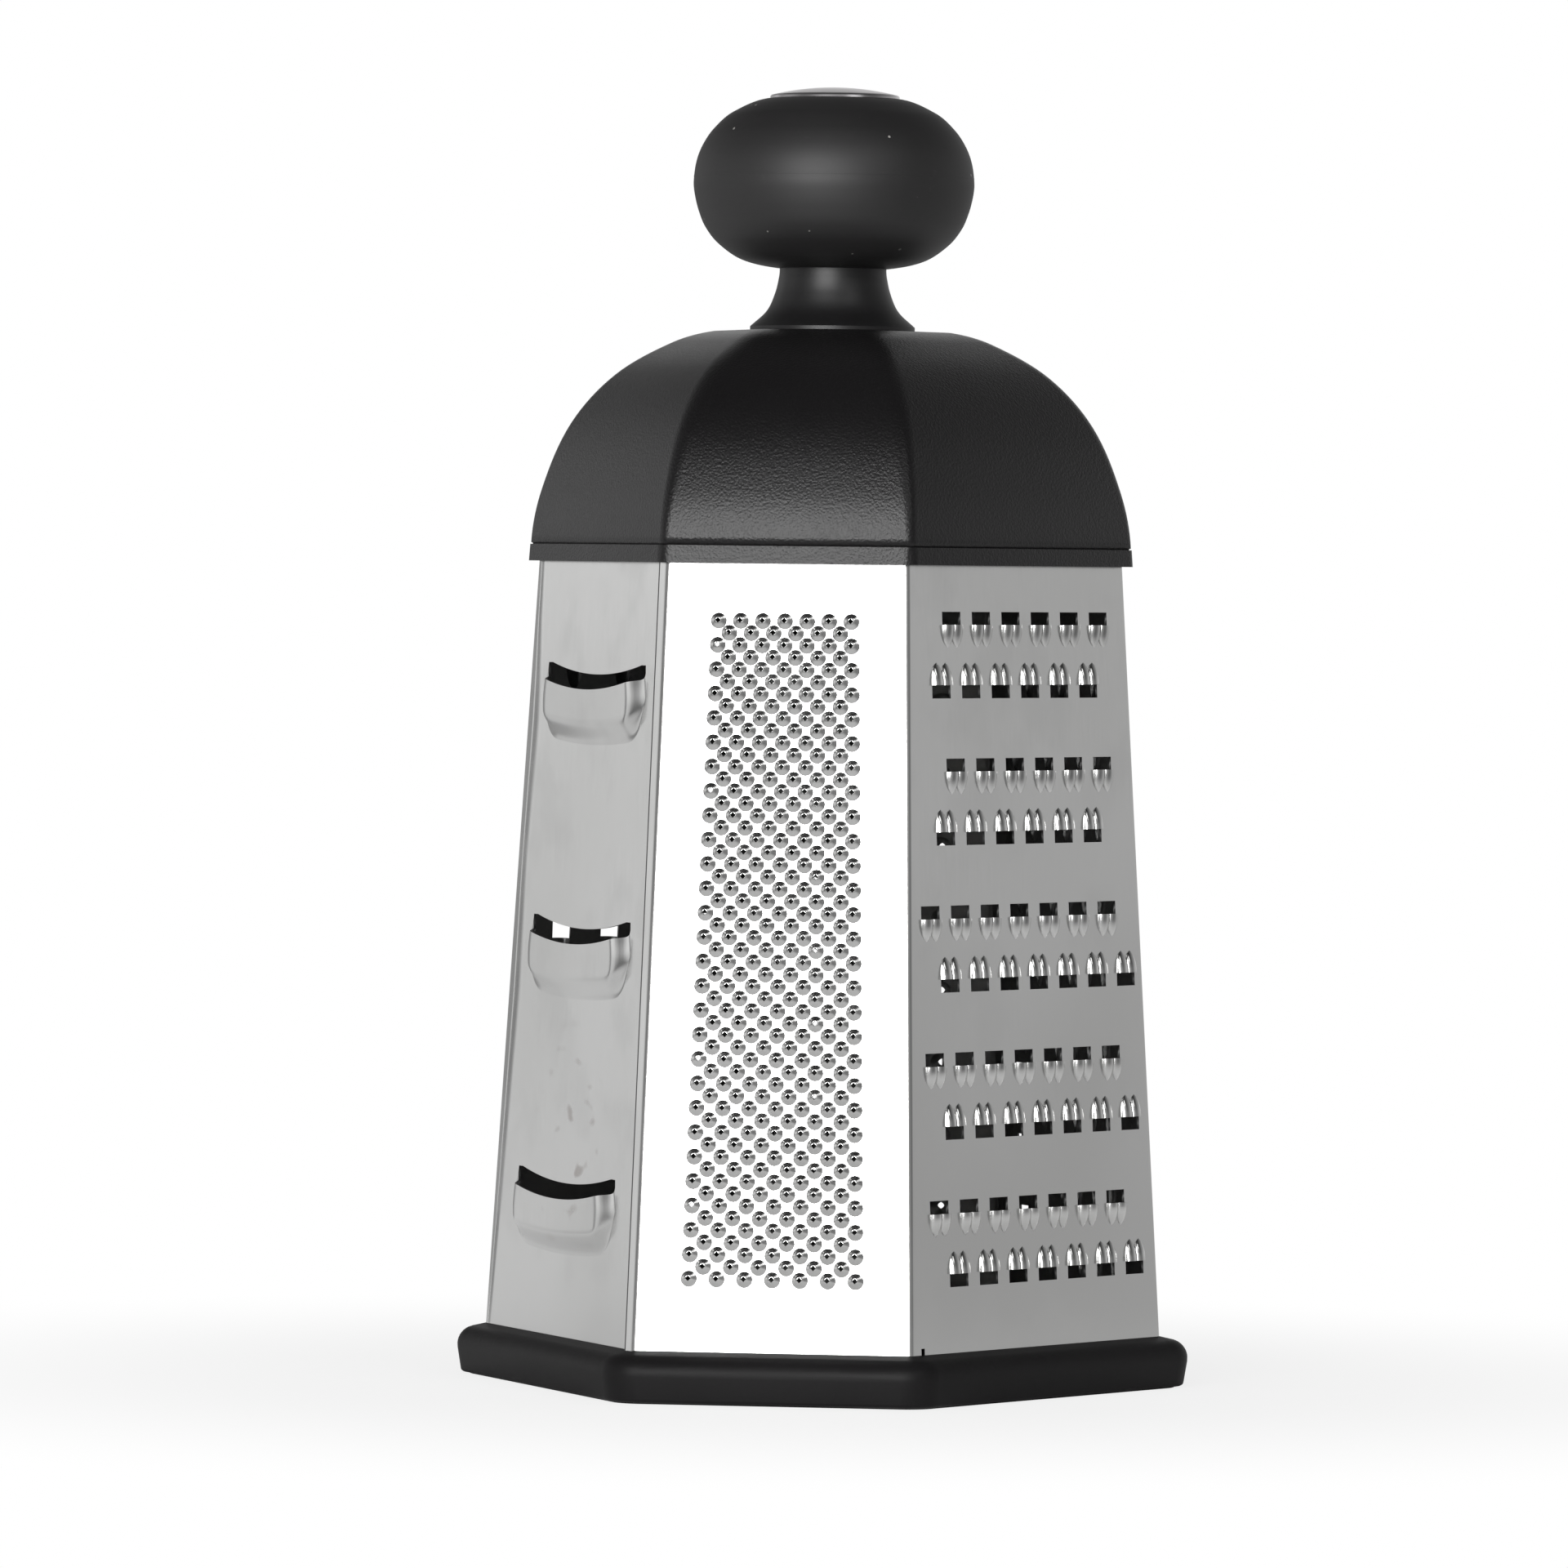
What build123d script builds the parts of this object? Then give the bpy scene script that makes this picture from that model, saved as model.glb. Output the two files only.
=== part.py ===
"""Six-sided box grater with a round knob, built as separate pieces.

Millimetres, +Z up. The origin is the middle of the foot, on the surface that the grater stands on.
The fine face looks along -Y, and the two side corners of the body lie on the X axis.
"""
import os
from math import atan2, cos, degrees, hypot, radians, sin, tan

from build123d import *

# Steel body, measured on the outside of the steel
base_top = 9.4
rim_bottom = 151.7
body_half_width = 63.3
front_half_width = 25.35
top_half_width = 54.7
corner_turn = 60.0
sheet_thickness = 0.4
bend_radius = 2.0
sheet_foot = 4.0
sheet_top = 153.8

# Lapped corner, where one sheet folds over the edge of the other
lap_width = 2.9
lap_gap = 0.05
lap_edge_setback = 2.0
relief_width = 1.0
relief_top = 10.6
relief_from_corner = 3.4

# Fine face: raised cones with a hole at the tip, in rows that spread towards the foot
fine_rows = 55
fine_long_row = 7
fine_row_pitch = 2.203
fine_top_pitch = 4.03
fine_foot_pitch = 5.06
fine_top_height = 132.1
fine_shift = -0.3
fine_cone_radius = 1.45
fine_hole_radius = 0.55
fine_cone_height = 0.6
cone_wall_step = 0.15

# Shredding face: holes with two pressed fangs each, in rows that point down and up in turn
shred_rows = 10
shred_short_rows = 4
shred_per_row = 7
shred_pitch = 8.96
shred_row_pitch = 13.307
shred_top_height = 132.85
shred_shift = 1.1
shred_row_shift = 2.67
shred_hole_width = 5.5
shred_hole_height = 2.4
fang_length = 3.9
fang_height = 0.9

# Slicing face: smile-shaped slots, each over a raised pocket whose upper rim is the cutting edge
slot_count = 3
slot_pitch = 46.8
slot_top_height = 124.1
slot_shift = -0.5
slot_half_width = 24.8
slot_height = 2.9
slot_sag = 2.4
pocket_lift = 2.2
pocket_wall = 4.3
pocket_half_width = 25.2
pocket_depth = 15.4
pocket_corner_width = 5.2
pocket_corner_height = 3.5
pocket_foot_sag = 1.4
pocket_foot_half_width = 8.0

# Hooded faces at the back
coarse_hood_half_width = 2.8
coarse_hood_height = 1.7
coarse_hood_length = 7.0
coarse_mouth = 4.0
coarse_pitch = 14.4
coarse_row_pitch = 13.4
coarse_rows = 9
coarse_per_row = 4
coarse_top_height = 125.2
coarse_shift = 0.1
medium_hood_half_width = 2.0
medium_hood_height = 1.1
medium_hood_length = 4.4
medium_mouth = 1.5
medium_pitch = 7.6
medium_row_pitch = 6.8
medium_rows = 18
medium_per_row = 7
medium_top_height = 128.2

# Rasp face at the back: larger cones
rasp_rows = 19
rasp_per_row = 5
rasp_pitch = 7.0
rasp_row_pitch = 6.9
rasp_top_height = 130.0
rasp_cone_radius = 2.1
rasp_hole_radius = 0.9
rasp_cone_height = 1.1

# Base ring and the soft foot under it
base_overhang = 5.9
base_shoulder_height = 8.1
base_undercut = 1.1
base_corner_radius = 7.8
base_shoulder_radius = 3.5
base_foot_radius = 0.8
base_inner_wall = 1.8
base_inner_top = 7.4
foot_proud = 0.3
foot_thickness = 1.8
foot_inset = 1.5

# Rim frame, which holds the top edge of the steel and carries the dome
rim_height = 3.1
rim_overhang = 2.0
rim_corner_radius = 3.0
rim_draft = 0.2
skirt_depth = 6.0
skirt_thickness = 1.8
floor_thickness = 2.0
floor_rib_height = 4.0
floor_rib_thickness = 1.6

# Dome cover
dome_top = 194.7
dome_overhang = 1.55
dome_wall = 2.2
dome_corner_radius = 1.5
dome_roof = 3.0
locating_wall = 1.5
locating_height = 2.5
locating_gap = 0.5
dome_profile_shares = [
    (1.0, 0.0),
    (0.968, 0.26),
    (0.876, 0.566),
    (0.732, 0.794),
    (0.543, 0.947),
    (0.409, 1.0),
]
dome_foot_lean_share = 0.03
dome_crown_slope_share = 0.22

# Neck
neck_collar_radius = 15.3
neck_collar_thickness = 0.9
neck_radius = 9.9
neck_top = 206.4
neck_flare_shares = [(1.0, 0.0), (0.43, 0.27), (0.155, 0.57), (0.02, 0.86), (0.0, 1.0)]
neck_spigot_radius = 7.5
neck_spigot_height = 6.0

# Knob: soft grip over a hard core, with a metal disc let into the top
knob_radius = 26.05
knob_middle = 222.4
knob_top = 237.9
knob_seat_radius = 9.9
knob_lower_shares = [(0.647, 0.906), (0.82, 0.719), (0.914, 0.527), (0.963, 0.337), (0.992, 0.146)]
knob_upper_shares = [(0.981, 0.242), (0.937, 0.439), (0.86, 0.632), (0.725, 0.832)]
grip_thickness = 2.6
disc_radius = 12.0
disc_top = 240.0
disc_edge_height = 0.7
disc_stem_radius = 4.0
disc_stem_length = 3.0

# Through bolt, its washer and the insert that it screws into
bolt_radius = 2.5
bolt_head_radius = 4.5
bolt_head_height = 3.0
bolt_socket_radius = 2.0
bolt_socket_depth = 2.0
washer_radius = 7.0
washer_thickness = 1.0
insert_radius = 4.0
insert_bottom = 213.5
insert_length = 12.0
bolt_end = 224.0
tube_wall = 3.2

# Cover screws
screw_x = 27.0
screw_y = 24.0
screw_radius = 1.5
screw_length = 14.0
screw_head_radius = 3.0
screw_head_height = 1.8
screw_recess_radius = 1.0
screw_recess_depth = 1.0
boss_wall = 2.2

# Clearances
fit_gap = 0.15
thread_gap = 0.05
overrun = 5.0

half_turn = radians(corner_turn / 2)
top_share = top_half_width / body_half_width
body_height = rim_bottom - base_top
front_apothem = (body_half_width - front_half_width) * tan(radians(corner_turn))
side_apothem = body_half_width * cos(half_turn)
front_face_half_width = front_half_width
side_face_half_width = (body_half_width - front_half_width) / cos(radians(corner_turn)) / 2
side_face_shift = side_face_half_width - body_half_width * sin(half_turn)
rim_top = rim_bottom + rim_height
bolt_hole_radius = bolt_radius + fit_gap
screw_places = [(x, y) for x in (-screw_x, screw_x) for y in (-screw_y, screw_y)]

FRONT, FRONT_RIGHT, BACK_RIGHT, BACK, BACK_LEFT, FRONT_LEFT = -90, -30, 30, 90, 150, 210


def body_share(z):
    """Size of the body at a height, as a share of its size at the top of the base ring."""
    return 1 - (z - base_top) / body_height * (1 - top_share)


def hexagon(front, side, radius, z):
    """Six-sided face at height z, from its distances to the front face and to the side faces."""
    half_width = side / cos(half_turn)
    half_front = half_width - front / tan(radians(corner_turn))
    corners = [(half_width, 0), (half_front, front), (-half_front, front)]
    corners += [(-x, -y) for x, y in corners]
    face = make_face(Polyline(*corners, close=True))
    return Pos(0, 0, z) * fillet(face.vertices(), radius)


def body_hexagon(z, offset, radius):
    """Six-sided face that lies an offset outside the steel at height z."""
    share = body_share(z)
    return hexagon(front_apothem * share + offset, side_apothem * share + offset, radius, z)


def body_frustum(low, high, offset, radius):
    """Tapered six-sided solid that follows the steel at an offset."""
    return loft([body_hexagon(low, offset, radius), body_hexagon(high, offset, radius)], ruled=True)


def is_front(angle):
    """True for the front and back faces, which are the narrow ones."""
    return angle in (FRONT, BACK)


def apothem(angle):
    """Distance from the axis to a face at the top of the base ring."""
    return front_apothem if is_front(angle) else side_apothem


def face_half_width(angle):
    """Half the width of a face at the top of the base ring."""
    return front_face_half_width if is_front(angle) else side_face_half_width


def face_shift(angle):
    """Distance along a face from the foot of its perpendicular to its middle, at the top of the base."""
    if is_front(angle):
        return 0
    return side_face_shift if angle in (BACK_RIGHT, FRONT_LEFT) else -side_face_shift


def face_lean(angle):
    """How far a face leans in for each unit of height."""
    return apothem(angle) * (1 - top_share) / body_height


def face_normal(angle):
    """Unit vector that points out of a face."""
    across = Vector(cos(radians(angle)), sin(radians(angle)), 0)
    return (across + Vector(0, 0, face_lean(angle))).normalized()


def face_plane(angle, lift=0.0):
    """Plane on the outside of a face: x to the right, y up the face, origin in the middle of its foot."""
    across = Vector(cos(radians(angle)), sin(radians(angle)), 0)
    right = Vector(-across.Y, across.X, 0)
    origin = across * apothem(angle) + right * face_shift(angle) + Vector(0, 0, base_top)
    return Plane(origin=origin + face_normal(angle) * lift, x_dir=right, z_dir=face_normal(angle))


def corner_reach(angle, side):
    """Distance from the foot of the perpendicular to a corner line of a face, at the top of the base."""
    return side * face_half_width(angle) + face_shift(angle)


def corner_lean(angle, side):
    """How far a corner line of a face runs inwards for each unit of length up the face."""
    return corner_reach(angle, side) * (1 - top_share) / (body_height * hypot(1, face_lean(angle)))


def outline(angle, left, right):
    """Corners of a strip of a face, from two (side, shift) pairs measured from its corner lines."""
    slant = hypot(1, face_lean(angle))

    def place(edge, z):
        side, shift = edge
        up_face = (z - base_top) * slant
        lean = corner_lean(angle, side)
        return side * face_half_width(angle) - lean * up_face + shift * hypot(1, lean), up_face

    low, high = sheet_foot - overrun, sheet_top + overrun
    return [place(left, low), place(right, low), place(right, high), place(left, high)]


def circle_wire(place, radius, z=0.0):
    """Circle round a place on a face."""
    return Wire.make_circle(radius, Plane(origin=(place[0], place[1], z), z_dir=(0, 0, 1)))


def polygon_wire(points, z=0.0):
    """Closed straight-sided wire at one height."""
    return Wire.make_polygon([Vector(x, y, z) for x, y in points], close=True)


def plate(corners, openings=()):
    """Flat sheet with openings through it, its outside at z = 0."""
    return extrude(Face(polygon_wire(corners), list(openings)), amount=-sheet_thickness)


def coned_plate(corners, places, radius, hole_radius, height):
    """Flat sheet pressed into hollow cones, each with a hole at its tip, sewn from its faces."""
    inner_radius = radius - cone_wall_step
    outside = Solid.make_cone(radius, hole_radius, height).faces().filter_by(GeomType.CONE)[0]
    inside = Solid.make_cone(inner_radius, hole_radius, height).faces().filter_by(GeomType.CONE)[0]
    tip = Solid.make_cylinder(hole_radius, sheet_thickness).faces().filter_by(GeomType.CYLINDER)[0]
    skins = [Face(polygon_wire(corners), [circle_wire(place, radius) for place in places])]
    under = [circle_wire(place, inner_radius, -sheet_thickness) for place in places]
    skins.append(Face(polygon_wire(corners, -sheet_thickness), under))
    for (x0, y0), (x1, y1) in zip(corners, corners[1:] + corners[:1]):
        edge = [Vector(x0, y0, 0), Vector(x1, y1, 0), Vector(x1, y1, -sheet_thickness)]
        edge.append(Vector(x0, y0, -sheet_thickness))
        skins.append(Face(Wire.make_polygon(edge, close=True)))
    for x, y in places:
        skins.append(outside.moved(Location((x, y, 0))))
        skins.append(inside.moved(Location((x, y, -sheet_thickness))))
        skins.append(tip.moved(Location((x, y, height - sheet_thickness))))
    return Solid(Shell(skins))


def bend_turn(first, second):
    """Angle between two faces, in radians."""
    return radians(face_normal(first).get_angle(face_normal(second)))


def setback(first, second):
    """Distance from the corner line of two faces to where their bend starts."""
    return bend_radius * tan(bend_turn(first, second) / 2)


def bend(first, second, first_lift=0.0, second_lift=0.0):
    """Bent strip between two faces that follow each other anticlockwise."""
    normal_a, normal_b = face_normal(first), face_normal(second)
    along = normal_a.cross(normal_b).normalized()
    reach_a = apothem(first) * face_normal(first).dot(Vector(cos(radians(first)), sin(radians(first)), 0))
    reach_b = apothem(second) * face_normal(second).dot(Vector(cos(radians(second)), sin(radians(second)), 0))
    reach_a += base_top * normal_a.Z + first_lift - bend_radius
    reach_b += base_top * normal_b.Z + second_lift - bend_radius
    share = normal_a.dot(normal_b)
    centre = normal_a * (reach_a - share * reach_b) + normal_b * (reach_b - share * reach_a)
    centre = centre / (1 - share * share)
    start = centre + along * ((sheet_foot - overrun - centre.Z) / along.Z)
    turn = degrees(bend_turn(first, second))
    outer = CenterArc((0, 0), bend_radius, 0, turn)
    inner = CenterArc((0, 0), bend_radius - sheet_thickness, 0, turn)
    sides = [Line(outer @ 0, inner @ 0), Line(outer @ 1, inner @ 1)]
    section = make_face([outer.edge(), sides[0].edge(), sides[1].edge(), inner.edge()])
    length = (sheet_top - sheet_foot + 2 * overrun) / along.Z
    return extrude(Plane(origin=start, x_dir=normal_a, z_dir=along) * section, amount=length)


def row_places(rows, per_row, pitch_at, row_pitch, top_height, shift=0.0):
    """Places in staggered rows: even rows hold per_row places, odd rows one fewer."""
    places = []
    for row in range(rows):
        count = per_row - row % 2
        for column in range(count):
            x = shift + (column - (count - 1) / 2) * pitch_at(row)
            places.append((x, top_height - row * row_pitch))
    return places


def fine_pitch(row):
    """Pitch of the fine cones in a row, which spreads towards the foot."""
    return fine_top_pitch + (fine_foot_pitch - fine_top_pitch) * row / (fine_rows - 1)


def fine_face(corners):
    """Fine grating face."""
    places = row_places(fine_rows, fine_long_row, fine_pitch, fine_row_pitch, fine_top_height, fine_shift)
    return coned_plate(corners, places, fine_cone_radius, fine_hole_radius, fine_cone_height)


def rasp_face(corners):
    """Rasp face, with larger cones."""
    places = row_places(rasp_rows, rasp_per_row, lambda row: rasp_pitch, rasp_row_pitch, rasp_top_height)
    return coned_plate(corners, places, rasp_cone_radius, rasp_hole_radius, rasp_cone_height)


def hood_cone(x, y, hangs, half_width, height, length, drop):
    """Cone that lies on the sheet with its mouth at y and dives into it: downwards where hangs is 1."""
    arch_radius = (half_width**2 + height**2) / (2 * height)
    depth = arch_radius - height
    tail = length * arch_radius / height
    cone = Rot(90, 0, 0) * Solid.make_cone(arch_radius - drop, 0, tail - drop * tail / arch_radius)
    return Pos(x, y, -depth) * Rot(0, 0, 90 * (1 - hangs)) * cone


def hooded_plate(corners, openings, hoods, half_width, height, length):
    """Flat sheet with openings and with hollow half cones, one for each (x, y, hangs) hood."""
    above = extrude(Face(polygon_wire(corners)), amount=height + overrun)
    slab = above + extrude(Face(polygon_wire(corners)), amount=-sheet_thickness)
    raised = [hood_cone(*hood, half_width, height, length, 0.0) & slab for hood in hoods]
    hollows = [hood_cone(*hood, half_width, height, length, sheet_thickness) for hood in hoods]
    face = plate(corners, openings).fuse(*[cone.solid() for cone in raised])
    return face.cut(*[cone.solid() for cone in hollows])


def mouth_wire(x, y, hangs, width, height):
    """Straight-sided opening that starts at a hood's mouth."""
    far = y + hangs * height
    return polygon_wire([(x - width / 2, y), (x + width / 2, y), (x + width / 2, far), (x - width / 2, far)])


def shred_places():
    """Mouth and direction of each opening: +1 where its fangs hang below it."""
    places = []
    for row in range(shred_rows):
        hangs = 1 if row % 2 == 0 else -1
        columns = range(shred_per_row)
        if row < shred_short_rows:
            columns = columns[1:] if hangs > 0 else columns[:-1]
        for column in columns:
            x = shred_shift + (column - (shred_per_row - 1) / 2) * shred_pitch - hangs * shred_row_shift
            y = shred_top_height - row * shred_row_pitch - hangs * shred_hole_height / 2
            places.append((x, y, hangs))
    return places


def shred_face(corners):
    """Shredding face, with a pair of fangs at each opening."""
    places = shred_places()
    openings = [mouth_wire(*place, shred_hole_width, shred_hole_height) for place in places]
    half_width = shred_hole_width / 4
    fangs = [(x + side * half_width, y, hangs) for x, y, hangs in places for side in (-1, 1)]
    return hooded_plate(corners, openings, fangs, half_width, fang_height, fang_length)


def arc_band(y):
    """Slot between two arcs that sag, cut right through the sheet, with its upper ends at height y."""
    ends = [(slot_shift - slot_half_width, y), (slot_shift + slot_half_width, y)]
    upper = ThreePointArc(ends[0], (slot_shift, y - slot_sag), ends[1])
    lower = Pos(0, -slot_height, 0) * upper
    sides = [Line(upper @ 0, lower @ 0), Line(upper @ 1, lower @ 1)]
    face = make_face([upper.edge(), sides[0].edge(), lower.edge(), sides[1].edge()])
    return extrude(face, amount=overrun, both=True)


def below_edge(y):
    """Everything below the cutting edge of the slot at height y."""
    top, foot = y - slot_height, y - pocket_depth - overrun
    left, right = slot_shift - slot_half_width, slot_shift + slot_half_width
    edge = ThreePointArc((left, top), (slot_shift, top - slot_sag), (right, top))
    rest = Polyline((right, top), (right + overrun, top), (right + overrun, foot), (left - overrun, foot),
                    (left - overrun, top), (left, top))
    return extrude(make_face([edge.edge(), *rest.edges()]), amount=overrun, both=True)


def pocket(y, drop):
    """Flat-topped pocket below the slot at height y, lowered by a drop, up to the cutting edge."""
    foot = y - pocket_depth
    left = [
        (-pocket_half_width, y + pocket_wall),
        (-pocket_half_width, foot + pocket_foot_sag + pocket_corner_height),
        (pocket_corner_width - pocket_half_width, foot + pocket_foot_sag),
        (-pocket_foot_half_width, foot),
    ]
    corners = left + [(-across, height) for across, height in reversed(left)]
    slope = degrees(atan2(pocket_wall, pocket_lift))
    raised = extrude(make_face(Polyline(*corners, close=True)), amount=pocket_lift, taper=slope)
    return (Pos(slot_shift, 0, -drop) * raised & below_edge(y)).solid()


def slice_face(corners):
    """Slicing face with three slots."""
    heights = [slot_top_height - slot_pitch * i for i in range(slot_count)]
    face = plate(corners).fuse(*[pocket(y, 0.0) for y in heights])
    hollows = [pocket(y, sheet_thickness) for y in heights]
    return face.cut(*hollows, *[arc_band(y).solid() for y in heights])


def hooded_face(corners, places, mouth, half_width, height, length):
    """Face with lifted hoods, each below a hole that opens upwards."""
    hoods = [(x, y, 1) for x, y in places]
    openings = [mouth_wire(*hood, 2 * half_width, mouth) for hood in hoods]
    return hooded_plate(corners, openings, hoods, half_width, height, length)


def coarse_face(corners):
    """Coarse face, with large hoods."""
    rows = (coarse_rows, coarse_per_row, lambda row: coarse_pitch, coarse_row_pitch)
    places = row_places(*rows, coarse_top_height, coarse_shift)
    sizes = (coarse_mouth, coarse_hood_half_width, coarse_hood_height, coarse_hood_length)
    return hooded_face(corners, places, *sizes)


def medium_face(corners):
    """Medium face, with smaller hoods."""
    rows = (medium_rows, medium_per_row, lambda row: medium_pitch, medium_row_pitch)
    places = row_places(*rows, medium_top_height)
    sizes = (medium_mouth, medium_hood_half_width, medium_hood_height, medium_hood_length)
    return hooded_face(corners, places, *sizes)


def relief_cut(angle):
    """Small slot at the foot of a face, beside its left bend."""
    height = relief_top - sheet_foot + overrun
    x = -face_half_width(angle) + relief_from_corner
    corner = (Align.CENTER, Align.MAX, Align.CENTER)
    slot = Box(relief_width, height, overrun, align=corner)
    return face_plane(angle) * Pos(x, relief_top - base_top, 0) * slot


def blade_sheet(first, makers):
    """One steel sheet of three faces, clockwise from its free edge to the face that carries the lap."""
    middle, last = first - corner_turn, first - 2 * corner_turn
    lapped = last - corner_turn
    lapped_angle = lapped + 360 if lapped < FRONT else lapped
    lap_lift = sheet_thickness + lap_gap
    lap_turn = bend_turn(lapped_angle, last)
    edges = {
        first: ((-1, setback(middle, first)), (1, -lap_edge_setback)),
        middle: ((-1, setback(last, middle)), (1, -setback(middle, first))),
        last: ((-1, setback(lapped_angle, last) - lap_lift / sin(lap_turn)), (1, -setback(last, middle))),
    }
    faces = []
    for angle, maker in zip((first, middle, last), makers):
        left, right = edges[angle]
        faces.append(face_plane(angle) * maker(outline(angle, left, right)))
    corner_step = -lap_lift / tan(lap_turn)
    flap_edges = ((1, corner_step - lap_width), (1, corner_step - setback(lapped_angle, last)))
    faces.append(face_plane(lapped_angle, lap_lift) * plate(outline(lapped_angle, *flap_edges)))
    faces.append(bend(middle, first))
    faces.append(bend(last, middle))
    faces.append(bend(lapped_angle, last, lap_lift, 0.0))
    solids = [face.solid() for face in faces]
    sheet = solids[0].fuse(*solids[1:])
    reach = 4 * body_half_width
    slab = Pos(0, 0, sheet_foot) * Box(reach, reach, sheet_top - sheet_foot, align=up)
    return (sheet & slab) - relief_cut(middle)


def base_ring():
    """Plastic ring that takes the foot of the steel in a channel."""
    foot = base_overhang - base_undercut
    front, side = front_apothem + base_overhang, side_apothem + base_overhang
    sections = [
        hexagon(front_apothem + foot, side_apothem + foot, base_corner_radius, foot_proud),
        hexagon(front, side, base_corner_radius, base_shoulder_height),
        body_hexagon(base_top, fit_gap, bend_radius),
    ]
    ring = loft(sections, ruled=True)
    shoulder = ring.edges().filter_by_position(Axis.Z, base_shoulder_height, base_shoulder_height)
    ring = fillet(shoulder, base_shoulder_radius)
    bottom = ring.edges().filter_by_position(Axis.Z, foot_proud, foot_proud)
    ring = fillet(bottom, base_foot_radius)
    inside = -sheet_thickness - fit_gap
    wall = inside - base_inner_wall
    channel_floor = sheet_foot - fit_gap
    above = base_top + overrun
    channel = body_frustum(channel_floor, above, fit_gap, bend_radius)
    channel -= body_frustum(channel_floor, above, inside, bend_radius - sheet_thickness)
    lap_room = lap_recess(channel_floor, above)
    ring -= channel + lap_room
    ring -= body_frustum(base_inner_top, above, inside + fit_gap, bend_radius)
    ring -= body_frustum(-overrun, above, wall, bend_radius)
    return ring - foot_prism(fit_gap)


def lap_recess(low, high):
    """Room for the lapped corners, just outside the steel."""
    room = None
    for angle in (FRONT_LEFT, BACK_RIGHT):
        width = lap_width + 4 * fit_gap
        height = (high - low) * hypot(1, face_lean(angle)) + fit_gap
        depth = sheet_thickness + lap_gap + fit_gap
        shape = Box(width, height, 2 * depth, align=(Align.MAX, Align.MIN, Align.CENTER))
        shape = Pos(0, (low - base_top) * hypot(1, face_lean(angle)), 0) * shape
        shape = Rot(0, 0, degrees(corner_lean(angle, 1))) * shape
        shape = face_plane(angle) * Pos(face_half_width(angle) + fit_gap, 0, 0) * shape
        room = shape if room is None else room + shape
    return room


def foot_prism(gap):
    """Prism of the soft foot, grown by a gap."""
    outer = base_overhang - base_undercut - foot_inset + gap
    inner = foot_inset - sheet_thickness - fit_gap - base_inner_wall - gap
    height = foot_thickness + gap
    corner = base_corner_radius - foot_inset + gap
    ring = extrude(hexagon(front_apothem + outer, side_apothem + outer, corner, 0), height)
    hole = hexagon(front_apothem + inner, side_apothem + inner, bend_radius, -overrun)
    return ring - extrude(hole, height + 2 * overrun)


def rim_frame():
    """Frame that grips the top edge of the steel, with a floor and a lip outside."""
    inside = -sheet_thickness - fit_gap
    skirt = inside - skirt_thickness
    foot = body_hexagon(rim_bottom, rim_overhang, rim_corner_radius)
    share = body_share(rim_bottom)
    crown_front = front_apothem * share + rim_overhang - rim_draft
    crown_side = side_apothem * share + rim_overhang - rim_draft
    frame = loft([foot, hexagon(crown_front, crown_side, rim_corner_radius, rim_top)], ruled=True)
    frame += body_frustum(rim_bottom - skirt_depth, rim_bottom, inside, bend_radius - sheet_thickness)
    slot_top = sheet_top + fit_gap
    slot = body_frustum(rim_bottom - overrun, slot_top, fit_gap, bend_radius)
    slot -= body_frustum(rim_bottom - overrun, slot_top, inside, bend_radius - sheet_thickness)
    frame -= slot + lap_recess(rim_bottom - overrun, slot_top)
    frame -= body_frustum(rim_bottom - skirt_depth - overrun, rim_top - floor_thickness, skirt, bend_radius)
    rib_low = rim_top - floor_thickness - floor_rib_height
    reach = skirt + overrun_into(skirt_thickness)
    room = body_frustum(rib_low, rim_top - floor_thickness, reach, bend_radius)
    ribs = None
    for turn in (0, corner_turn, -corner_turn):
        rib = Rot(0, 0, turn) * Box(2 * body_half_width, floor_rib_thickness, rim_top - rib_low)
        rib = Pos(0, 0, (rim_top + rib_low) / 2) * rib
        ribs = rib if ribs is None else ribs + rib
    frame += ribs & room
    frame += inner_wall_ring(locating_height)
    frame += Pos(0, 0, rib_low) * Cylinder(washer_radius + boss_wall, rim_top - rib_low, align=up)
    frame -= Pos(0, 0, rim_bottom - skirt_depth) * Cylinder(bolt_hole_radius, skirt_depth * 2, align=up)
    pocket_top = rim_top - floor_thickness
    frame -= Pos(0, 0, pocket_top - skirt_depth) * Cylinder(washer_radius + fit_gap, skirt_depth, align=up)
    for x, y in screw_places:
        frame -= Pos(x, y, rim_bottom) * Cylinder(screw_radius + fit_gap, 2 * rim_height, align=up)
    return frame


def overrun_into(wall):
    """Distance by which a rib runs into the wall that it joins."""
    return wall / 2


def inner_wall_ring(height):
    """Low wall on the rim frame that locates the dome from inside."""
    share = body_share(rim_bottom)
    outer = dome_overhang - dome_wall - locating_gap
    front, side = front_apothem * share + outer, side_apothem * share + outer
    ring = extrude(hexagon(front, side, dome_corner_radius, rim_top), height)
    inner = hexagon(front - locating_wall, side - locating_wall, dome_corner_radius, rim_top)
    return ring - extrude(inner, height)


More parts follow.
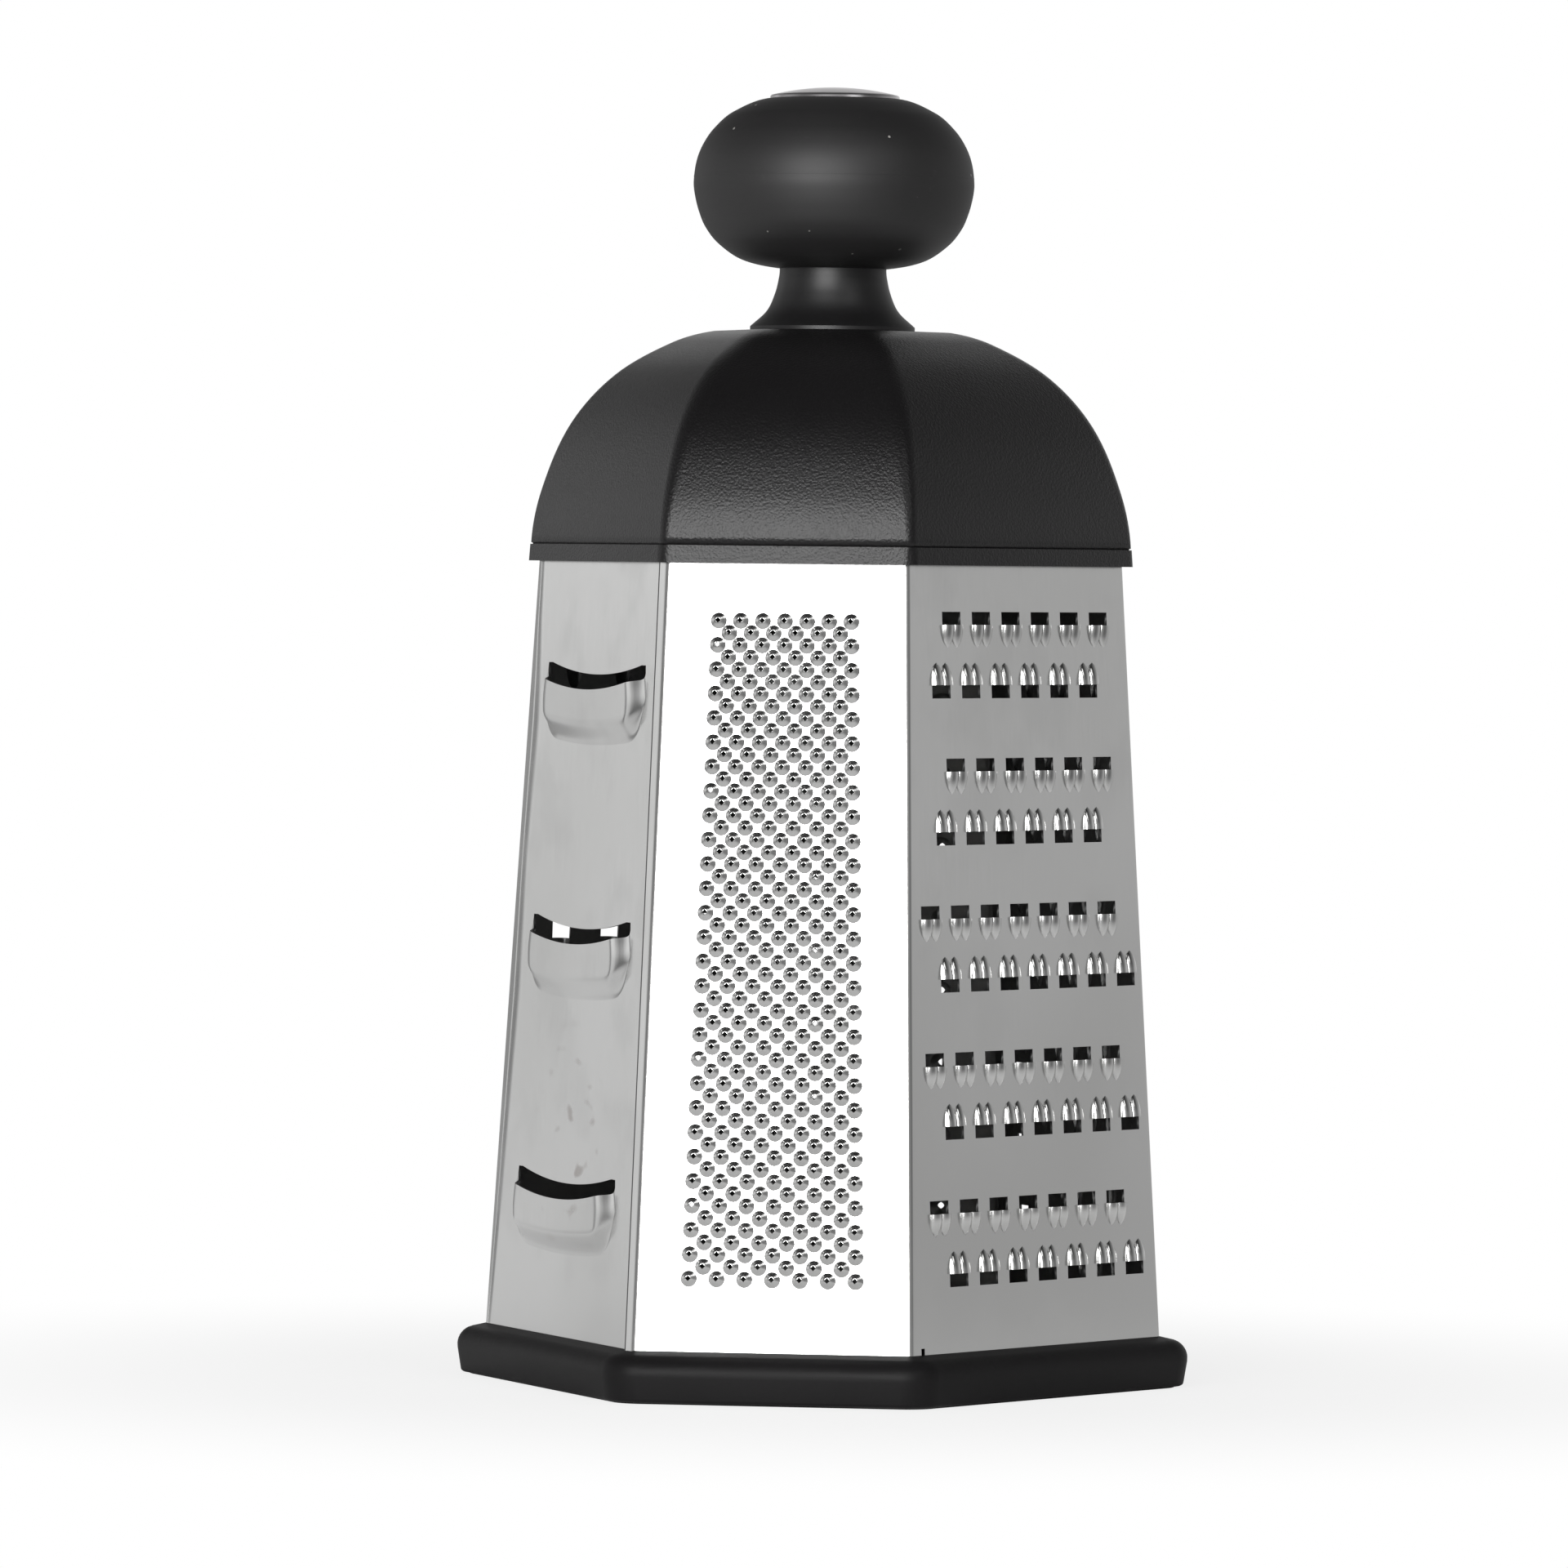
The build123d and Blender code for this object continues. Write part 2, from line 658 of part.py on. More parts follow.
def dome_solid(front, side, height):
    """Six-sided dome on the rim frame: three arched prisms cut to their common part."""
    solid = None
    for angle, reach in ((BACK, front), (BACK_RIGHT, side), (FRONT_RIGHT, side)):
        points = [(reach * across, height * up_share) for across, up_share in dome_profile_shares]
        leans = [(-dome_foot_lean_share, 1), (-1, dome_crown_slope_share)]
        right = Spline(*points, tangents=leans)
        left = mirror(right, Plane.YZ)
        lines = [right.edge(), Line(points[-1], (-points[-1][0], points[-1][1])).edge()]
        lines += [left.edge(), Line((-points[0][0], 0), points[0]).edge()]
        outward = Vector(cos(radians(angle)), sin(radians(angle)), 0)
        plane = Plane(origin=(0, 0, rim_top), x_dir=outward, z_dir=outward.cross(Vector(0, 0, 1)))
        prism = extrude(plane * make_face(lines), amount=2 * body_half_width, both=True)
        solid = prism if solid is None else solid & prism
    return solid


def dome_cover():
    """Hollow dome with a tube for the bolt and a boss for each cover screw."""
    share = body_share(rim_bottom)
    front = front_apothem * share + dome_overhang
    side = side_apothem * share + dome_overhang
    height = dome_top - rim_top
    outer = dome_solid(front, side, height)
    ridges = outer.edges().filter_by(lambda edge: edge.bounding_box().size.Z > height / 2)
    rounded = fillet(ridges, dome_corner_radius)
    posts = Pos(0, 0, rim_top) * Cylinder(bolt_hole_radius + tube_wall, height, align=up)
    for x, y in screw_places:
        posts += Pos(x, y, rim_top) * Cylinder(screw_radius + boss_wall, height, align=up)
    inner = dome_solid(front - dome_wall, side - dome_wall, height - dome_roof)
    dome = rounded - (inner - posts)
    dome -= Pos(0, 0, rim_top) * Cylinder(bolt_hole_radius, height + overrun, align=up)
    for x, y in screw_places:
        dome -= Pos(x, y, rim_top) * Cylinder(screw_radius + thread_gap, screw_length, align=up)
    return dome


def neck():
    """Flared neck with a thin collar below and a spigot that enters the knob."""
    collar_top = dome_top + neck_collar_thickness
    flare_width = neck_collar_radius - neck_radius
    flare_height = neck_top - collar_top
    flare = []
    for out, rise in neck_flare_shares:
        flare.append((neck_radius + flare_width * out, collar_top + flare_height * rise))
    side = Spline(*flare, tangents=[(-1, 1), (0, 1)])
    spigot_top = neck_top + neck_spigot_height
    lines = [
        Line((bolt_hole_radius, dome_top), (neck_collar_radius, dome_top)),
        Line((neck_collar_radius, dome_top), flare[0]),
        side,
        Polyline(flare[-1], (neck_spigot_radius, neck_top), (neck_spigot_radius, spigot_top)),
        Line((neck_spigot_radius, spigot_top), (bolt_hole_radius, spigot_top)),
        Line((bolt_hole_radius, spigot_top), (bolt_hole_radius, dome_top)),
    ]
    edges = [edge for line in lines for edge in line.edges()]
    return revolve(Plane.XZ * make_face(edges), Axis.Z)


def knob_form(shrink):
    """Outer form of the knob, shrunk by a distance all round, down to its flat seat."""
    radius = knob_radius - shrink
    low = knob_middle - neck_top - shrink
    high = knob_top - knob_middle - shrink
    seat = knob_seat_radius - shrink / 2
    crown = disc_radius + fit_gap - shrink / 2
    side = [(seat, knob_middle - low)]
    side += [(radius * out, knob_middle - low * down) for out, down in knob_lower_shares]
    side.append((radius, knob_middle))
    side += [(radius * out, knob_middle + high * rise) for out, rise in knob_upper_shares]
    side.append((crown, knob_middle + high))
    curve = Spline(*side)
    low_middle, high_middle = (0, side[0][1]), (0, side[-1][1])
    caps = Polyline(side[-1], high_middle, low_middle, side[0])
    return revolve(Plane.XZ * make_face([curve.edge(), *caps.edges()]), Axis.Z)


def disc_pocket(gap):
    """Room for the metal disc and its stem."""
    low = disc_base() - gap
    room = Pos(0, 0, low) * Cylinder(disc_radius + gap, disc_top, align=up)
    return room + Pos(0, 0, low - disc_stem_length) * Cylinder(disc_stem_radius + gap, disc_top, align=up)


def disc_base():
    """Height of the underside of the metal disc."""
    return knob_top - grip_thickness


def knob_grip():
    """Soft shell of the knob, open at the neck and under the disc."""
    grip = knob_form(0.0) - knob_form(grip_thickness)
    spigot_room = Cylinder(neck_spigot_radius + fit_gap, knob_middle - neck_top, align=up)
    return grip - Pos(0, 0, neck_top - overrun) * spigot_room - disc_pocket(fit_gap)


def knob_core():
    """Hard core of the knob, with room for the neck, the insert, the bolt and the disc."""
    core = knob_form(grip_thickness)
    bore_low = neck_top - overrun
    spigot_room = neck_spigot_height + overrun + fit_gap
    core -= Pos(0, 0, bore_low) * Cylinder(neck_spigot_radius + fit_gap, spigot_room, align=up)
    core -= Pos(0, 0, bore_low) * Cylinder(bolt_hole_radius, bolt_end + fit_gap - bore_low, align=up)
    core -= Pos(0, 0, bore_low) * Cylinder(insert_radius, insert_bottom + insert_length - bore_low, align=up)
    return core - disc_pocket(fit_gap)


def knob_disc():
    """Domed metal disc with a stem, let into the top of the knob."""
    base = disc_base()
    edge_top = knob_top + disc_edge_height
    crown_middle = (disc_radius / 2, edge_top + (disc_top - edge_top) * 3 / 4)
    crown = ThreePointArc((0, disc_top), crown_middle, (disc_radius, edge_top))
    stem_low = base - disc_stem_length
    rest = Polyline(
        (disc_radius, edge_top),
        (disc_radius, base),
        (disc_stem_radius, base),
        (disc_stem_radius, stem_low),
        (0, stem_low),
        (0, disc_top),
    )
    return revolve(Plane.XZ * make_face([crown.edge(), *rest.edges()]), Axis.Z)


def through_bolt():
    """Bolt from under the rim frame up into the knob."""
    seat = rim_top - floor_thickness - washer_thickness
    bolt = Pos(0, 0, seat) * Cylinder(bolt_radius, bolt_end - seat, align=up)
    bolt += Pos(0, 0, seat - bolt_head_height) * Cylinder(bolt_head_radius, bolt_head_height, align=up)
    socket = extrude(RegularPolygon(bolt_socket_radius, 6), bolt_socket_depth)
    return bolt - Pos(0, 0, seat - bolt_head_height) * socket


def ring_solid(outer, inner, low, height):
    """Plain ring on the axis."""
    ring = Cylinder(outer, height, align=up) - Cylinder(inner, height, align=up)
    return Pos(0, 0, low) * ring


def cover_screws():
    """Pan-head screws, one for each boss of the dome."""
    under_floor = rim_top - floor_thickness
    screws = []
    for x, y in screw_places:
        screw = Cylinder(screw_radius, floor_thickness + screw_length - fit_gap, align=up)
        head = Pos(0, 0, -screw_head_height) * Cylinder(screw_head_radius, screw_head_height, align=up)
        head = fillet(head.edges().group_by(Axis.Z)[0], screw_head_height / 2)
        recess = Box(2 * screw_recess_radius, screw_recess_depth / 2, 2 * screw_recess_depth)
        recess += Rot(0, 0, 90) * recess
        screw = screw + head - Pos(0, 0, -screw_head_height) * recess
        screws.append(Pos(x, y, under_floor) * screw)
    return Compound(children=[screw.solid() for screw in screws])


up = (Align.CENTER, Align.CENTER, Align.MIN)

nodes = {
    "base_ring": base_ring,
    "non_slip_foot": lambda: foot_prism(0.0),
    "front_blade_sheet": lambda: blade_sheet(BACK_RIGHT, (medium_face, shred_face, fine_face)),
    "rear_blade_sheet": lambda: blade_sheet(FRONT_LEFT, (slice_face, coarse_face, rasp_face)),
    "rim_frame": rim_frame,
    "dome_cover": dome_cover,
    "cover_screws": cover_screws,
    "knob_neck": neck,
    "knob_core": knob_core,
    "knob_grip": knob_grip,
    "knob_disc": knob_disc,
    "threaded_insert": lambda: ring_solid(
        insert_radius, bolt_radius + thread_gap, insert_bottom, insert_length
    ),
    "through_bolt": through_bolt,
    "bolt_washer": lambda: ring_solid(
        washer_radius, bolt_hole_radius, rim_top - floor_thickness - washer_thickness, washer_thickness
    ),
}

os.makedirs("parts", exist_ok=True)
for name, make in nodes.items():
    export_step(make(), f"parts/{name}.step")
    print(name, "written")
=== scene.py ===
"""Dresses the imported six-sided box grater and sets it in a plain studio.

Every length in this script is in millimetres until it is written into a mesh, where MM turns it into metres.
The frame is the model's own: +Z up through the knob, the fine face looking along -Y.
"""

import logging
import math
from dataclasses import dataclass, field, fields
from enum import Enum
from functools import cache
from typing import Any, Callable, Iterable, Sequence

import bmesh
import bpy
from bmesh.types import BMesh, BMVert
from bpy.types import ColorRamp, Material, Mesh, Node, NodeSocket, NodeTree, Object
from mathutils import Matrix, Vector
from mathutils.geometry import delaunay_2d_cdt, intersect_line_plane, intersect_plane_plane


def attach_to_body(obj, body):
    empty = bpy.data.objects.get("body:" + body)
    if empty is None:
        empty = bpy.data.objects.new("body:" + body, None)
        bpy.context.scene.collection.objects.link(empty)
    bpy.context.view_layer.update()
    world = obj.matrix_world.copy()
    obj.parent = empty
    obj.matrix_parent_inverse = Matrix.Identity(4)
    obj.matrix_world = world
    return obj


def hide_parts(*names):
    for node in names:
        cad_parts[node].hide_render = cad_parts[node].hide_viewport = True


log = logging.getLogger("grater")

MM = 0.001
ROOT_BODY = "root"
# Face attribute with the steel's darkening share: painted shade on its inner side and on the strip at the
# lap's edge, and full darkening on its cut edges.
PAINTED_SHADE_SHARE = "dull_share"
WELD_DISTANCE = 0.002 * MM
IMAGE_PIXELS = 1920
SENSOR_WIDTH = 36.0
CORNER_TURN = math.radians(60.0)
FLAT_ANGLE = math.radians(0.4)
BEVEL_ANGLE = math.radians(40.0)

Point = tuple[float, float]
Place3 = tuple[float, float, float]

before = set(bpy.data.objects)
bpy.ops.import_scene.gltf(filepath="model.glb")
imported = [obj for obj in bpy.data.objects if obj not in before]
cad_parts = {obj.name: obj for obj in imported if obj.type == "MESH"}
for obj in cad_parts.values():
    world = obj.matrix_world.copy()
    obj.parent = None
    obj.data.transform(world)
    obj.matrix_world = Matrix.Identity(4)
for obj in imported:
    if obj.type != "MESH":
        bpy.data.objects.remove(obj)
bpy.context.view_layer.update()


class Slot(Enum):
    """Material slots of the record."""

    STEEL = "polished_steel"
    GRAINED = "grained_plastic"
    BASE = "base_plastic"
    SMOOTH = "smooth_plastic"
    GRIP = "soft_grip"
    RUBBER = "soft_rubber"
    DISC = "polished_disc"
    ZINC = "zinc_steel"
    BRASS = "insert_brass"


class Side(Enum):
    """Faces of the body, by the angle of the outward normal in degrees."""

    FRONT = -90.0
    FRONT_RIGHT = -30.0
    BACK_RIGHT = 30.0
    BACK = 90.0
    BACK_LEFT = 150.0
    FRONT_LEFT = 210.0

    @property
    def narrow(self) -> bool:
        """True for the front and the back, which are the narrow faces."""
        return self in (Side.FRONT, Side.BACK)

    @property
    def across(self) -> Vector:
        """Level direction that points out of the face."""
        return Vector((math.cos(math.radians(self.value)), math.sin(math.radians(self.value)), 0.0))


# Node trees


def operator(operation: str, swapped: bool = False) -> Callable[["Signal", Any], "Signal"]:
    """Makes an operator method.

    Args:
        operation: the Math node's operation.
        swapped: True where the other value comes first.

    Returns:
        The method, which adds the node.
    """

    def method(signal: "Signal", other: Any) -> "Signal":
        """Adds the node."""
        return signal.maths(operation, *((other, signal) if swapped else (signal, other)))

    return method


class Signal:
    """A socket whose Python operators add Math nodes to its tree."""

    def __init__(self, nodes: "Nodes", socket: NodeSocket) -> None:
        """Wraps a socket.

        Args:
            nodes: the builder of the tree that the socket belongs to.
            socket: the output socket to wrap.
        """
        self.nodes = nodes
        self.socket = socket

    def maths(self, operation: str, *values: Any) -> "Signal":
        """Adds a Math node.

        Args:
            operation: the node's operation.
            values: numbers or signals, in the order of the node's inputs.

        Returns:
            The node's result.
        """
        return self.nodes.out("ShaderNodeMath", {"operation": operation}, dict(enumerate(values)))

    __add__, __radd__ = operator("ADD"), operator("ADD", True)
    __sub__, __rsub__ = operator("SUBTRACT"), operator("SUBTRACT", True)
    __mul__, __rmul__ = operator("MULTIPLY"), operator("MULTIPLY", True)
    __truediv__, __gt__, __lt__ = operator("DIVIDE"), operator("GREATER_THAN"), operator("LESS_THAN")
    larger = operator("MAXIMUM")

    def floor(self) -> "Signal":
        """Whole part."""
        return self.maths("FLOOR", self)

    def root(self) -> "Signal":
        """Square root."""
        return self.maths("SQRT", self)

    def ramp(self, low: float, high: float) -> "Signal":
        """Smooth step from 0 at low to 1 at high."""
        values = {"Value": self, "From Min": low, "From Max": high}
        return self.nodes.out("ShaderNodeMapRange", {"interpolation_type": "SMOOTHSTEP"}, values)

    def between(self, first: Any, last: Any) -> "Signal":
        """Straight blend from first, where this is 0, to last, where this is 1."""
        return first + self * (last - first)


class Nodes:
    """Adds nodes to one tree and links them."""

    def __init__(self, tree: NodeTree) -> None:
        """Wraps a tree."""
        self.tree = tree

    def add(self, kind: str, settings: dict[str, Any] | None = None,
            values: dict[Any, Any] | None = None) -> Node:
        """Adds a node, its settings first and then its inputs.

        Args:
            kind: the node's type.
            settings: attributes of the node; stops holds a ramp's (position, colour) pairs.
            values: input name or number to a value, a Signal or a socket.

        Returns:
            The new node.
        """
        node = self.tree.nodes.new(kind)
        for name, value in (settings or {}).items():
            if name == "stops":
                self._set_stops(node.color_ramp, value)
            else:
                setattr(node, name, value)
        for name, value in (values or {}).items():
            self.feed(node.inputs[name], value)
        return node

    def _set_stops(self, ramp: ColorRamp, stops: Sequence[tuple[float, Sequence[float]]]) -> None:
        """Sets a ramp's stops in order."""
        while len(ramp.elements) < len(stops):
            ramp.elements.new(1.0)
        for element, (position, colour) in zip(ramp.elements, stops):
            element.position = position
            element.color = (*colour, 1.0)

    def feed(self, socket: NodeSocket, value: Any) -> None:
        """Sets or links one input."""
        if isinstance(value, Signal):
            value = value.socket
        if isinstance(value, NodeSocket):
            self.tree.links.new(value, socket)
        else:
            socket.default_value = value

    def out(self, kind: str, settings: dict[str, Any] | None = None,
            values: dict[Any, Any] | None = None, output: Any = 0) -> Signal:
        """Adds a node and wraps one of its outputs.

        Args:
            kind: the node's type.
            settings: attributes of the node.
            values: values or links of its inputs.
            output: name or number of the output.

        Returns:
            The wrapped output.
        """
        return Signal(self, self.add(kind, settings, values).outputs[output])

    def vector(self, x: Any, y: Any, z: Any) -> Signal:
        """Vector from three values."""
        return self.out("ShaderNodeCombineXYZ", None, {0: x, 1: y, 2: z})

    def curve(self, value: Signal, stops: Sequence[Point]) -> Signal:
        """Line through (value, level) stops, for values between -1 and 1."""
        ramp = [((place + 1.0) / 2.0, (level, level, level)) for place, level in stops]
        return self.out("ShaderNodeValToRGB", {"stops": ramp}, {0: (value + 1.0) / 2.0})


class Surface(Nodes):
    """Node tree of one material, with the patterns that the finishes share."""

    def __init__(self, name: str) -> None:
        """Makes an empty material.

        Args:
            name: name of the material.
        """
        self.material = bpy.data.materials.new(name)
        self.material.use_nodes = True
        super().__init__(self.material.node_tree)
        self.tree.nodes.clear()
        self.position = self.out("ShaderNodeTexCoord", None, None, "Object")

    def axes(self) -> tuple[Signal, Signal, Signal]:
        """The three object coordinates, in metres."""
        split = self.add("ShaderNodeSeparateXYZ", None, {0: self.position})
        return tuple(Signal(self, split.outputs[i]) for i in range(3))

    def noise(self, size: float, detail: float = 2.0, stretch: Place3 = (1.0, 1.0, 1.0),
              roughness: float = 0.5) -> Signal:
        """Noise between 0 and 1.

        Args:
            size: size of its blotches in millimetres.
            detail: octaves.
            stretch: how much longer the blotches are along each axis.
            roughness: strength of the finer octaves.

        Returns:
            The noise value.
        """
        scale = tuple(1.0 / s for s in stretch)
        place = self.out("ShaderNodeMapping", None, {"Vector": self.position, "Scale": scale})
        values = {"Vector": place, "Scale": 1.0 / (size * MM), "Detail": detail, "Roughness": roughness}
        return self.out("ShaderNodeTexNoise", None, values)

    def cells(self, size: float, smoothness: float | None = None) -> Signal:
        """Distance to the nearest of points that lie about a size apart, in sizes."""
        values = {"Vector": self.position, "Scale": 1.0 / (size * MM)}
        if smoothness is None:
            return self.out("ShaderNodeTexVoronoi", None, values)
        values["Smoothness"] = smoothness
        return self.out("ShaderNodeTexVoronoi", {"feature": "SMOOTH_F1"}, values)

    def colour(self, share: Signal, first: Signal | Place3, last: Place3) -> Signal:
        """Blend from a colour, which may be a signal, to a fixed colour."""
        values = {0: share, 6: first if isinstance(first, Signal) else (*first, 1.0), 7: (*last, 1.0)}
        return self.out("ShaderNodeMix", {"data_type": "RGBA"}, values, 2)

    def bump(self, height: Signal, depth: float, strength: float = 1.0) -> Signal:
        """Normal for a height between 0 and 1.

        Args:
            height: the height.
            depth: its full depth in millimetres.
            strength: share of the effect that is used.

        Returns:
            The normal.
        """
        values = {"Strength": strength, "Distance": depth * MM, "Height": height}
        return self.out("ShaderNodeBump", None, values, "Normal")

    def finish(self, values: dict[str, Any]) -> Material:
        """Adds the shader and its output.

        Args:
            values: values or links of the Principled shader's inputs.

        Returns:
            The finished material.
        """
        shader = self.add("ShaderNodeBsdfPrincipled", None, values)
        self.add("ShaderNodeOutputMaterial", None, {"Surface": shader.outputs[0]})
        return self.material


# Finishes


@dataclass(frozen=True)
class SteelFinish:
    """Bright rolled stainless sheet, with faint rolling lines and handling marks."""

    name: str = "bright_steel"
    colour: Place3 = (0.80, 0.80, 0.795)
    worn_colour: Place3 = (0.70, 0.70, 0.69)
    roughness: float = 0.17
    roughness_spread: float = 0.07
    line_width: float = 0.35
    line_length: float = 60.0
    line_depth: float = 0.004
    smudge_size: float = 16.0
    wear_size: float = 60.0
    scratch_size: float = 2.4
    stain_size: float = 4.2
    stain_share: float = 0.40
    stain_place: Place3 = (-48.0, -36.0, 46.0)
    stain_reach: float = 26.0
    stain_colour: Place3 = (0.50, 0.42, 0.38)
    # Dark colour for the painted shade on the inner side and on the strip at the lap's edge, and for the cut
    # edges.
    dull_colour: Place3 = (0.16, 0.16, 0.16)

    def material(self) -> Material:
        """Builds the material, darker and rougher where the mesh's attribute says so: painted shade on the
        inner side and on the strip at the lap's edge, and darker cut edges.
        """
        s = Surface(self.name)
        # Painted shade share read from the mesh, which also makes the steel rougher.
        darkening = s.out("ShaderNodeAttribute", {"attribute_name": PAINTED_SHADE_SHARE}, None, "Fac")
        lines = s.noise(self.line_width, 3.0, (1.0, 1.0, self.line_length), 0.6)
        smudges = s.noise(self.smudge_size, 4.0).ramp(0.46, 0.68)
        fine = s.noise(self.scratch_size, 3.0)
        cloud = s.noise(self.wear_size, 1.0).ramp(0.3, 0.7)
        place = tuple(c * MM for c in self.stain_place)
        reach = s.out("ShaderNodeVectorMath", {"operation": "DISTANCE"}, {0: s.position, 1: place}, "Value")
        near = 1.0 - reach.ramp(0.2 * self.stain_reach * MM, self.stain_reach * MM)
        drops = s.noise(self.stain_size, 1.0, (1.8, 1.8, 1.0)).ramp(0.60, 0.74) * near
        colour = s.colour(cloud * 0.6 + lines * 0.25, self.colour, self.worn_colour)
        colour = s.colour(drops * self.stain_share, colour, self.stain_colour)
        # Painted shade: blends towards the dark colour by that share.
        colour = s.colour(darkening, colour, self.dull_colour)
        rough = self.roughness + self.roughness_spread * (smudges * 0.6 + lines * 0.6 + fine * 0.3)
        rough = rough + drops * 0.2 + darkening * 0.25
        normal = s.bump(lines, self.line_depth, 0.35)
        return s.finish({"Base Color": colour, "Metallic": 1.0, "Roughness": rough, "Normal": normal})


@dataclass(frozen=True)
class PlasticFinish:
    """Moulded black plastic, from finely grained to smooth."""

    name: str
    colour: Place3
    roughness: float
    grain_size: float
    grain_depth: float
    grain_strength: float = 1.0
    roughness_spread: float = 0.08
    dust: float = 0.0
    specular: float = 0.5
    cloud_size: float = 22.0
    speck_pitch: float = 4.6
    speck_size: Point = (0.040, 0.075)
    patch_size: float = 14.0
    film_size: float = 9.0
    dust_colour: Place3 = (0.42, 0.41, 0.39)

    def material(self) -> Material:
        """Builds the material."""
        s = Surface(self.name)
        pits = s.cells(self.grain_size, 0.6)
        fine = s.noise(self.grain_size * 0.6, 3.0, roughness=0.7)
        cloud = s.noise(self.cloud_size, 3.0)
        grain = pits * 0.7 + fine * 0.6
        lift = tuple(c * 1.7 + 0.004 for c in self.colour)
        colour = s.colour(cloud * 0.5 + grain * 0.3, self.colour, lift)
        if self.dust > 0.0:
            specks = 1.0 - s.cells(self.speck_pitch).ramp(*self.speck_size)
            specks = specks * s.noise(self.patch_size, 1.0).ramp(0.42, 0.60)
            film = s.noise(self.film_size, 5.0, roughness=0.75).ramp(0.62, 0.86)
            colour = s.colour(specks * self.dust + film * self.dust * 0.05, colour, self.dust_colour)
        rough = self.roughness + self.roughness_spread * (cloud * 1.2 - 0.6 + fine * 0.5)
        normal = s.bump(grain, self.grain_depth, self.grain_strength)
        return s.finish({
            "Base Color": colour, "Roughness": rough, "Specular IOR Level": self.specular, "Normal": normal,
        })


@dataclass(frozen=True)
class MetalFinish:
    """Turned or plated small metal part."""

    name: str
    colour: Place3
    roughness: float
    ring_width: float = 0.12
    ring_depth: float = 0.003
    cloud_size: float = 7.0

    def material(self) -> Material:
        """Builds the material."""
        s = Surface(self.name)
        x, y, _ = s.axes()
        radius = (x * x + y * y).root()
        rings = s.out("ShaderNodeTexNoise", {"noise_dimensions": "1D"},
                      {"W": radius, "Scale": 1.0 / (self.ring_width * MM), "Detail": 2.0})
        cloud = s.noise(self.cloud_size, 3.0)
        darkening = tuple(c * 0.86 for c in self.colour)
        colour, rough = s.colour(cloud, self.colour, darkening), self.roughness + cloud * 0.06 + rings * 0.04
        normal = s.bump(rings, self.ring_depth, 0.5)
        return s.finish({"Base Color": colour, "Metallic": 1.0, "Roughness": rough, "Normal": normal})


FINISHES: dict[Slot, Any] = {
    Slot.STEEL: SteelFinish(),
    Slot.GRAINED: PlasticFinish(
        "grained_black", (0.0060, 0.0056, 0.0060), roughness=0.31, grain_size=0.48, grain_depth=0.075,
        grain_strength=1.0, roughness_spread=0.05, dust=0.0, specular=0.42,
    ),
    Slot.BASE: PlasticFinish(
        "satin_black", (0.0060, 0.0056, 0.0060), roughness=0.48, grain_size=0.30, grain_depth=0.008,
        grain_strength=0.7, roughness_spread=0.08, dust=0.0, specular=0.17,
    ),
    Slot.SMOOTH: PlasticFinish(
        "half_gloss_black", (0.006, 0.0058, 0.0062), roughness=0.42, grain_size=0.9, grain_depth=0.004,
        grain_strength=0.5, roughness_spread=0.08, dust=0.2, specular=0.6,
    ),
    Slot.GRIP: PlasticFinish(
        "soft_black", (0.0090, 0.0086, 0.0090), roughness=0.54, grain_size=0.26, grain_depth=0.006,
        grain_strength=0.7, roughness_spread=0.06, dust=1.0, specular=0.74,
    ),
    Slot.RUBBER: PlasticFinish(
        "rubber_black", (0.010, 0.010, 0.010), roughness=0.72, grain_size=0.35, grain_depth=0.012,
        grain_strength=0.8, roughness_spread=0.05, dust=0.3, specular=0.4,
    ),
    Slot.DISC: MetalFinish("polished_disc", (0.88, 0.86, 0.87), 0.24),
    Slot.ZINC: MetalFinish("zinc_plate", (0.62, 0.63, 0.65), 0.30),
    Slot.BRASS: MetalFinish("turned_brass", (0.72, 0.52, 0.22), 0.28),
}


@cache
def material_of(slot: Slot) -> Material:
    """The material of a slot, made when it is first asked for."""
    return FINISHES[slot].material()


# Mesh tools


def turned_to(x: Vector, y: Vector, z: Vector, place: Vector) -> Matrix:
    """Matrix that turns the three axes to these directions and moves the origin to a place."""
    rows = [[column[i] for column in (x, y, z, place)] for i in range(3)]
    return Matrix((*rows, (0, 0, 0, 1)))


def plain_mesh(bm: BMesh, name: str) -> Mesh:
    """Turns a bmesh into a mesh and frees it."""
    mesh = bpy.data.meshes.new(name)
    bm.to_mesh(mesh)
    bm.free()
    return mesh


def piece_from(mesh: Mesh, name: str) -> Object:
    """Puts a mesh in the scene as an object at the origin."""
    piece = bpy.data.objects.new(name, mesh)
    bpy.context.scene.collection.objects.link(piece)
    return piece


def mesh_from(bm: BMesh, name: str, sharp_angle: float) -> Mesh:
    """Turns a bmesh into a smooth mesh with sharp edges.

    Args:
        bm: the bmesh, in metres, which is freed; faces that differ in the layer "flat" meet in a sharp edge.
        name: name of the mesh.
        sharp_angle: edges that turn by more than this many degrees are sharp.

    Returns:
        The mesh.
    """
    flat = bm.faces.layers.int.get("flat")
    for face in bm.faces:
        face.smooth = True
    for edge in bm.edges:
        faces = edge.link_faces
        if len(faces) != 2:
            edge.smooth = False
            continue
        divides = flat is not None and faces[0][flat] != faces[1][flat]
        edge.smooth = not divides and edge.calc_face_angle() <= math.radians(sharp_angle)
    return plain_mesh(bm, name)


def evaluated_mesh(piece: Object, name: str) -> Mesh:
    """Plain mesh of an object with its modifiers applied."""
    bpy.context.view_layer.update()
    graph = bpy.context.evaluated_depsgraph_get()
    mesh = bpy.data.meshes.new_from_object(piece.evaluated_get(graph), depsgraph=graph)
    mesh.name = name
    return mesh


def bake_modifiers(piece: Object) -> None:
    """Replaces a piece's mesh by the result of its modifiers, which are removed."""
    mesh = evaluated_mesh(piece, piece.data.name + "_final")
    piece.modifiers.clear()
    piece.data = mesh


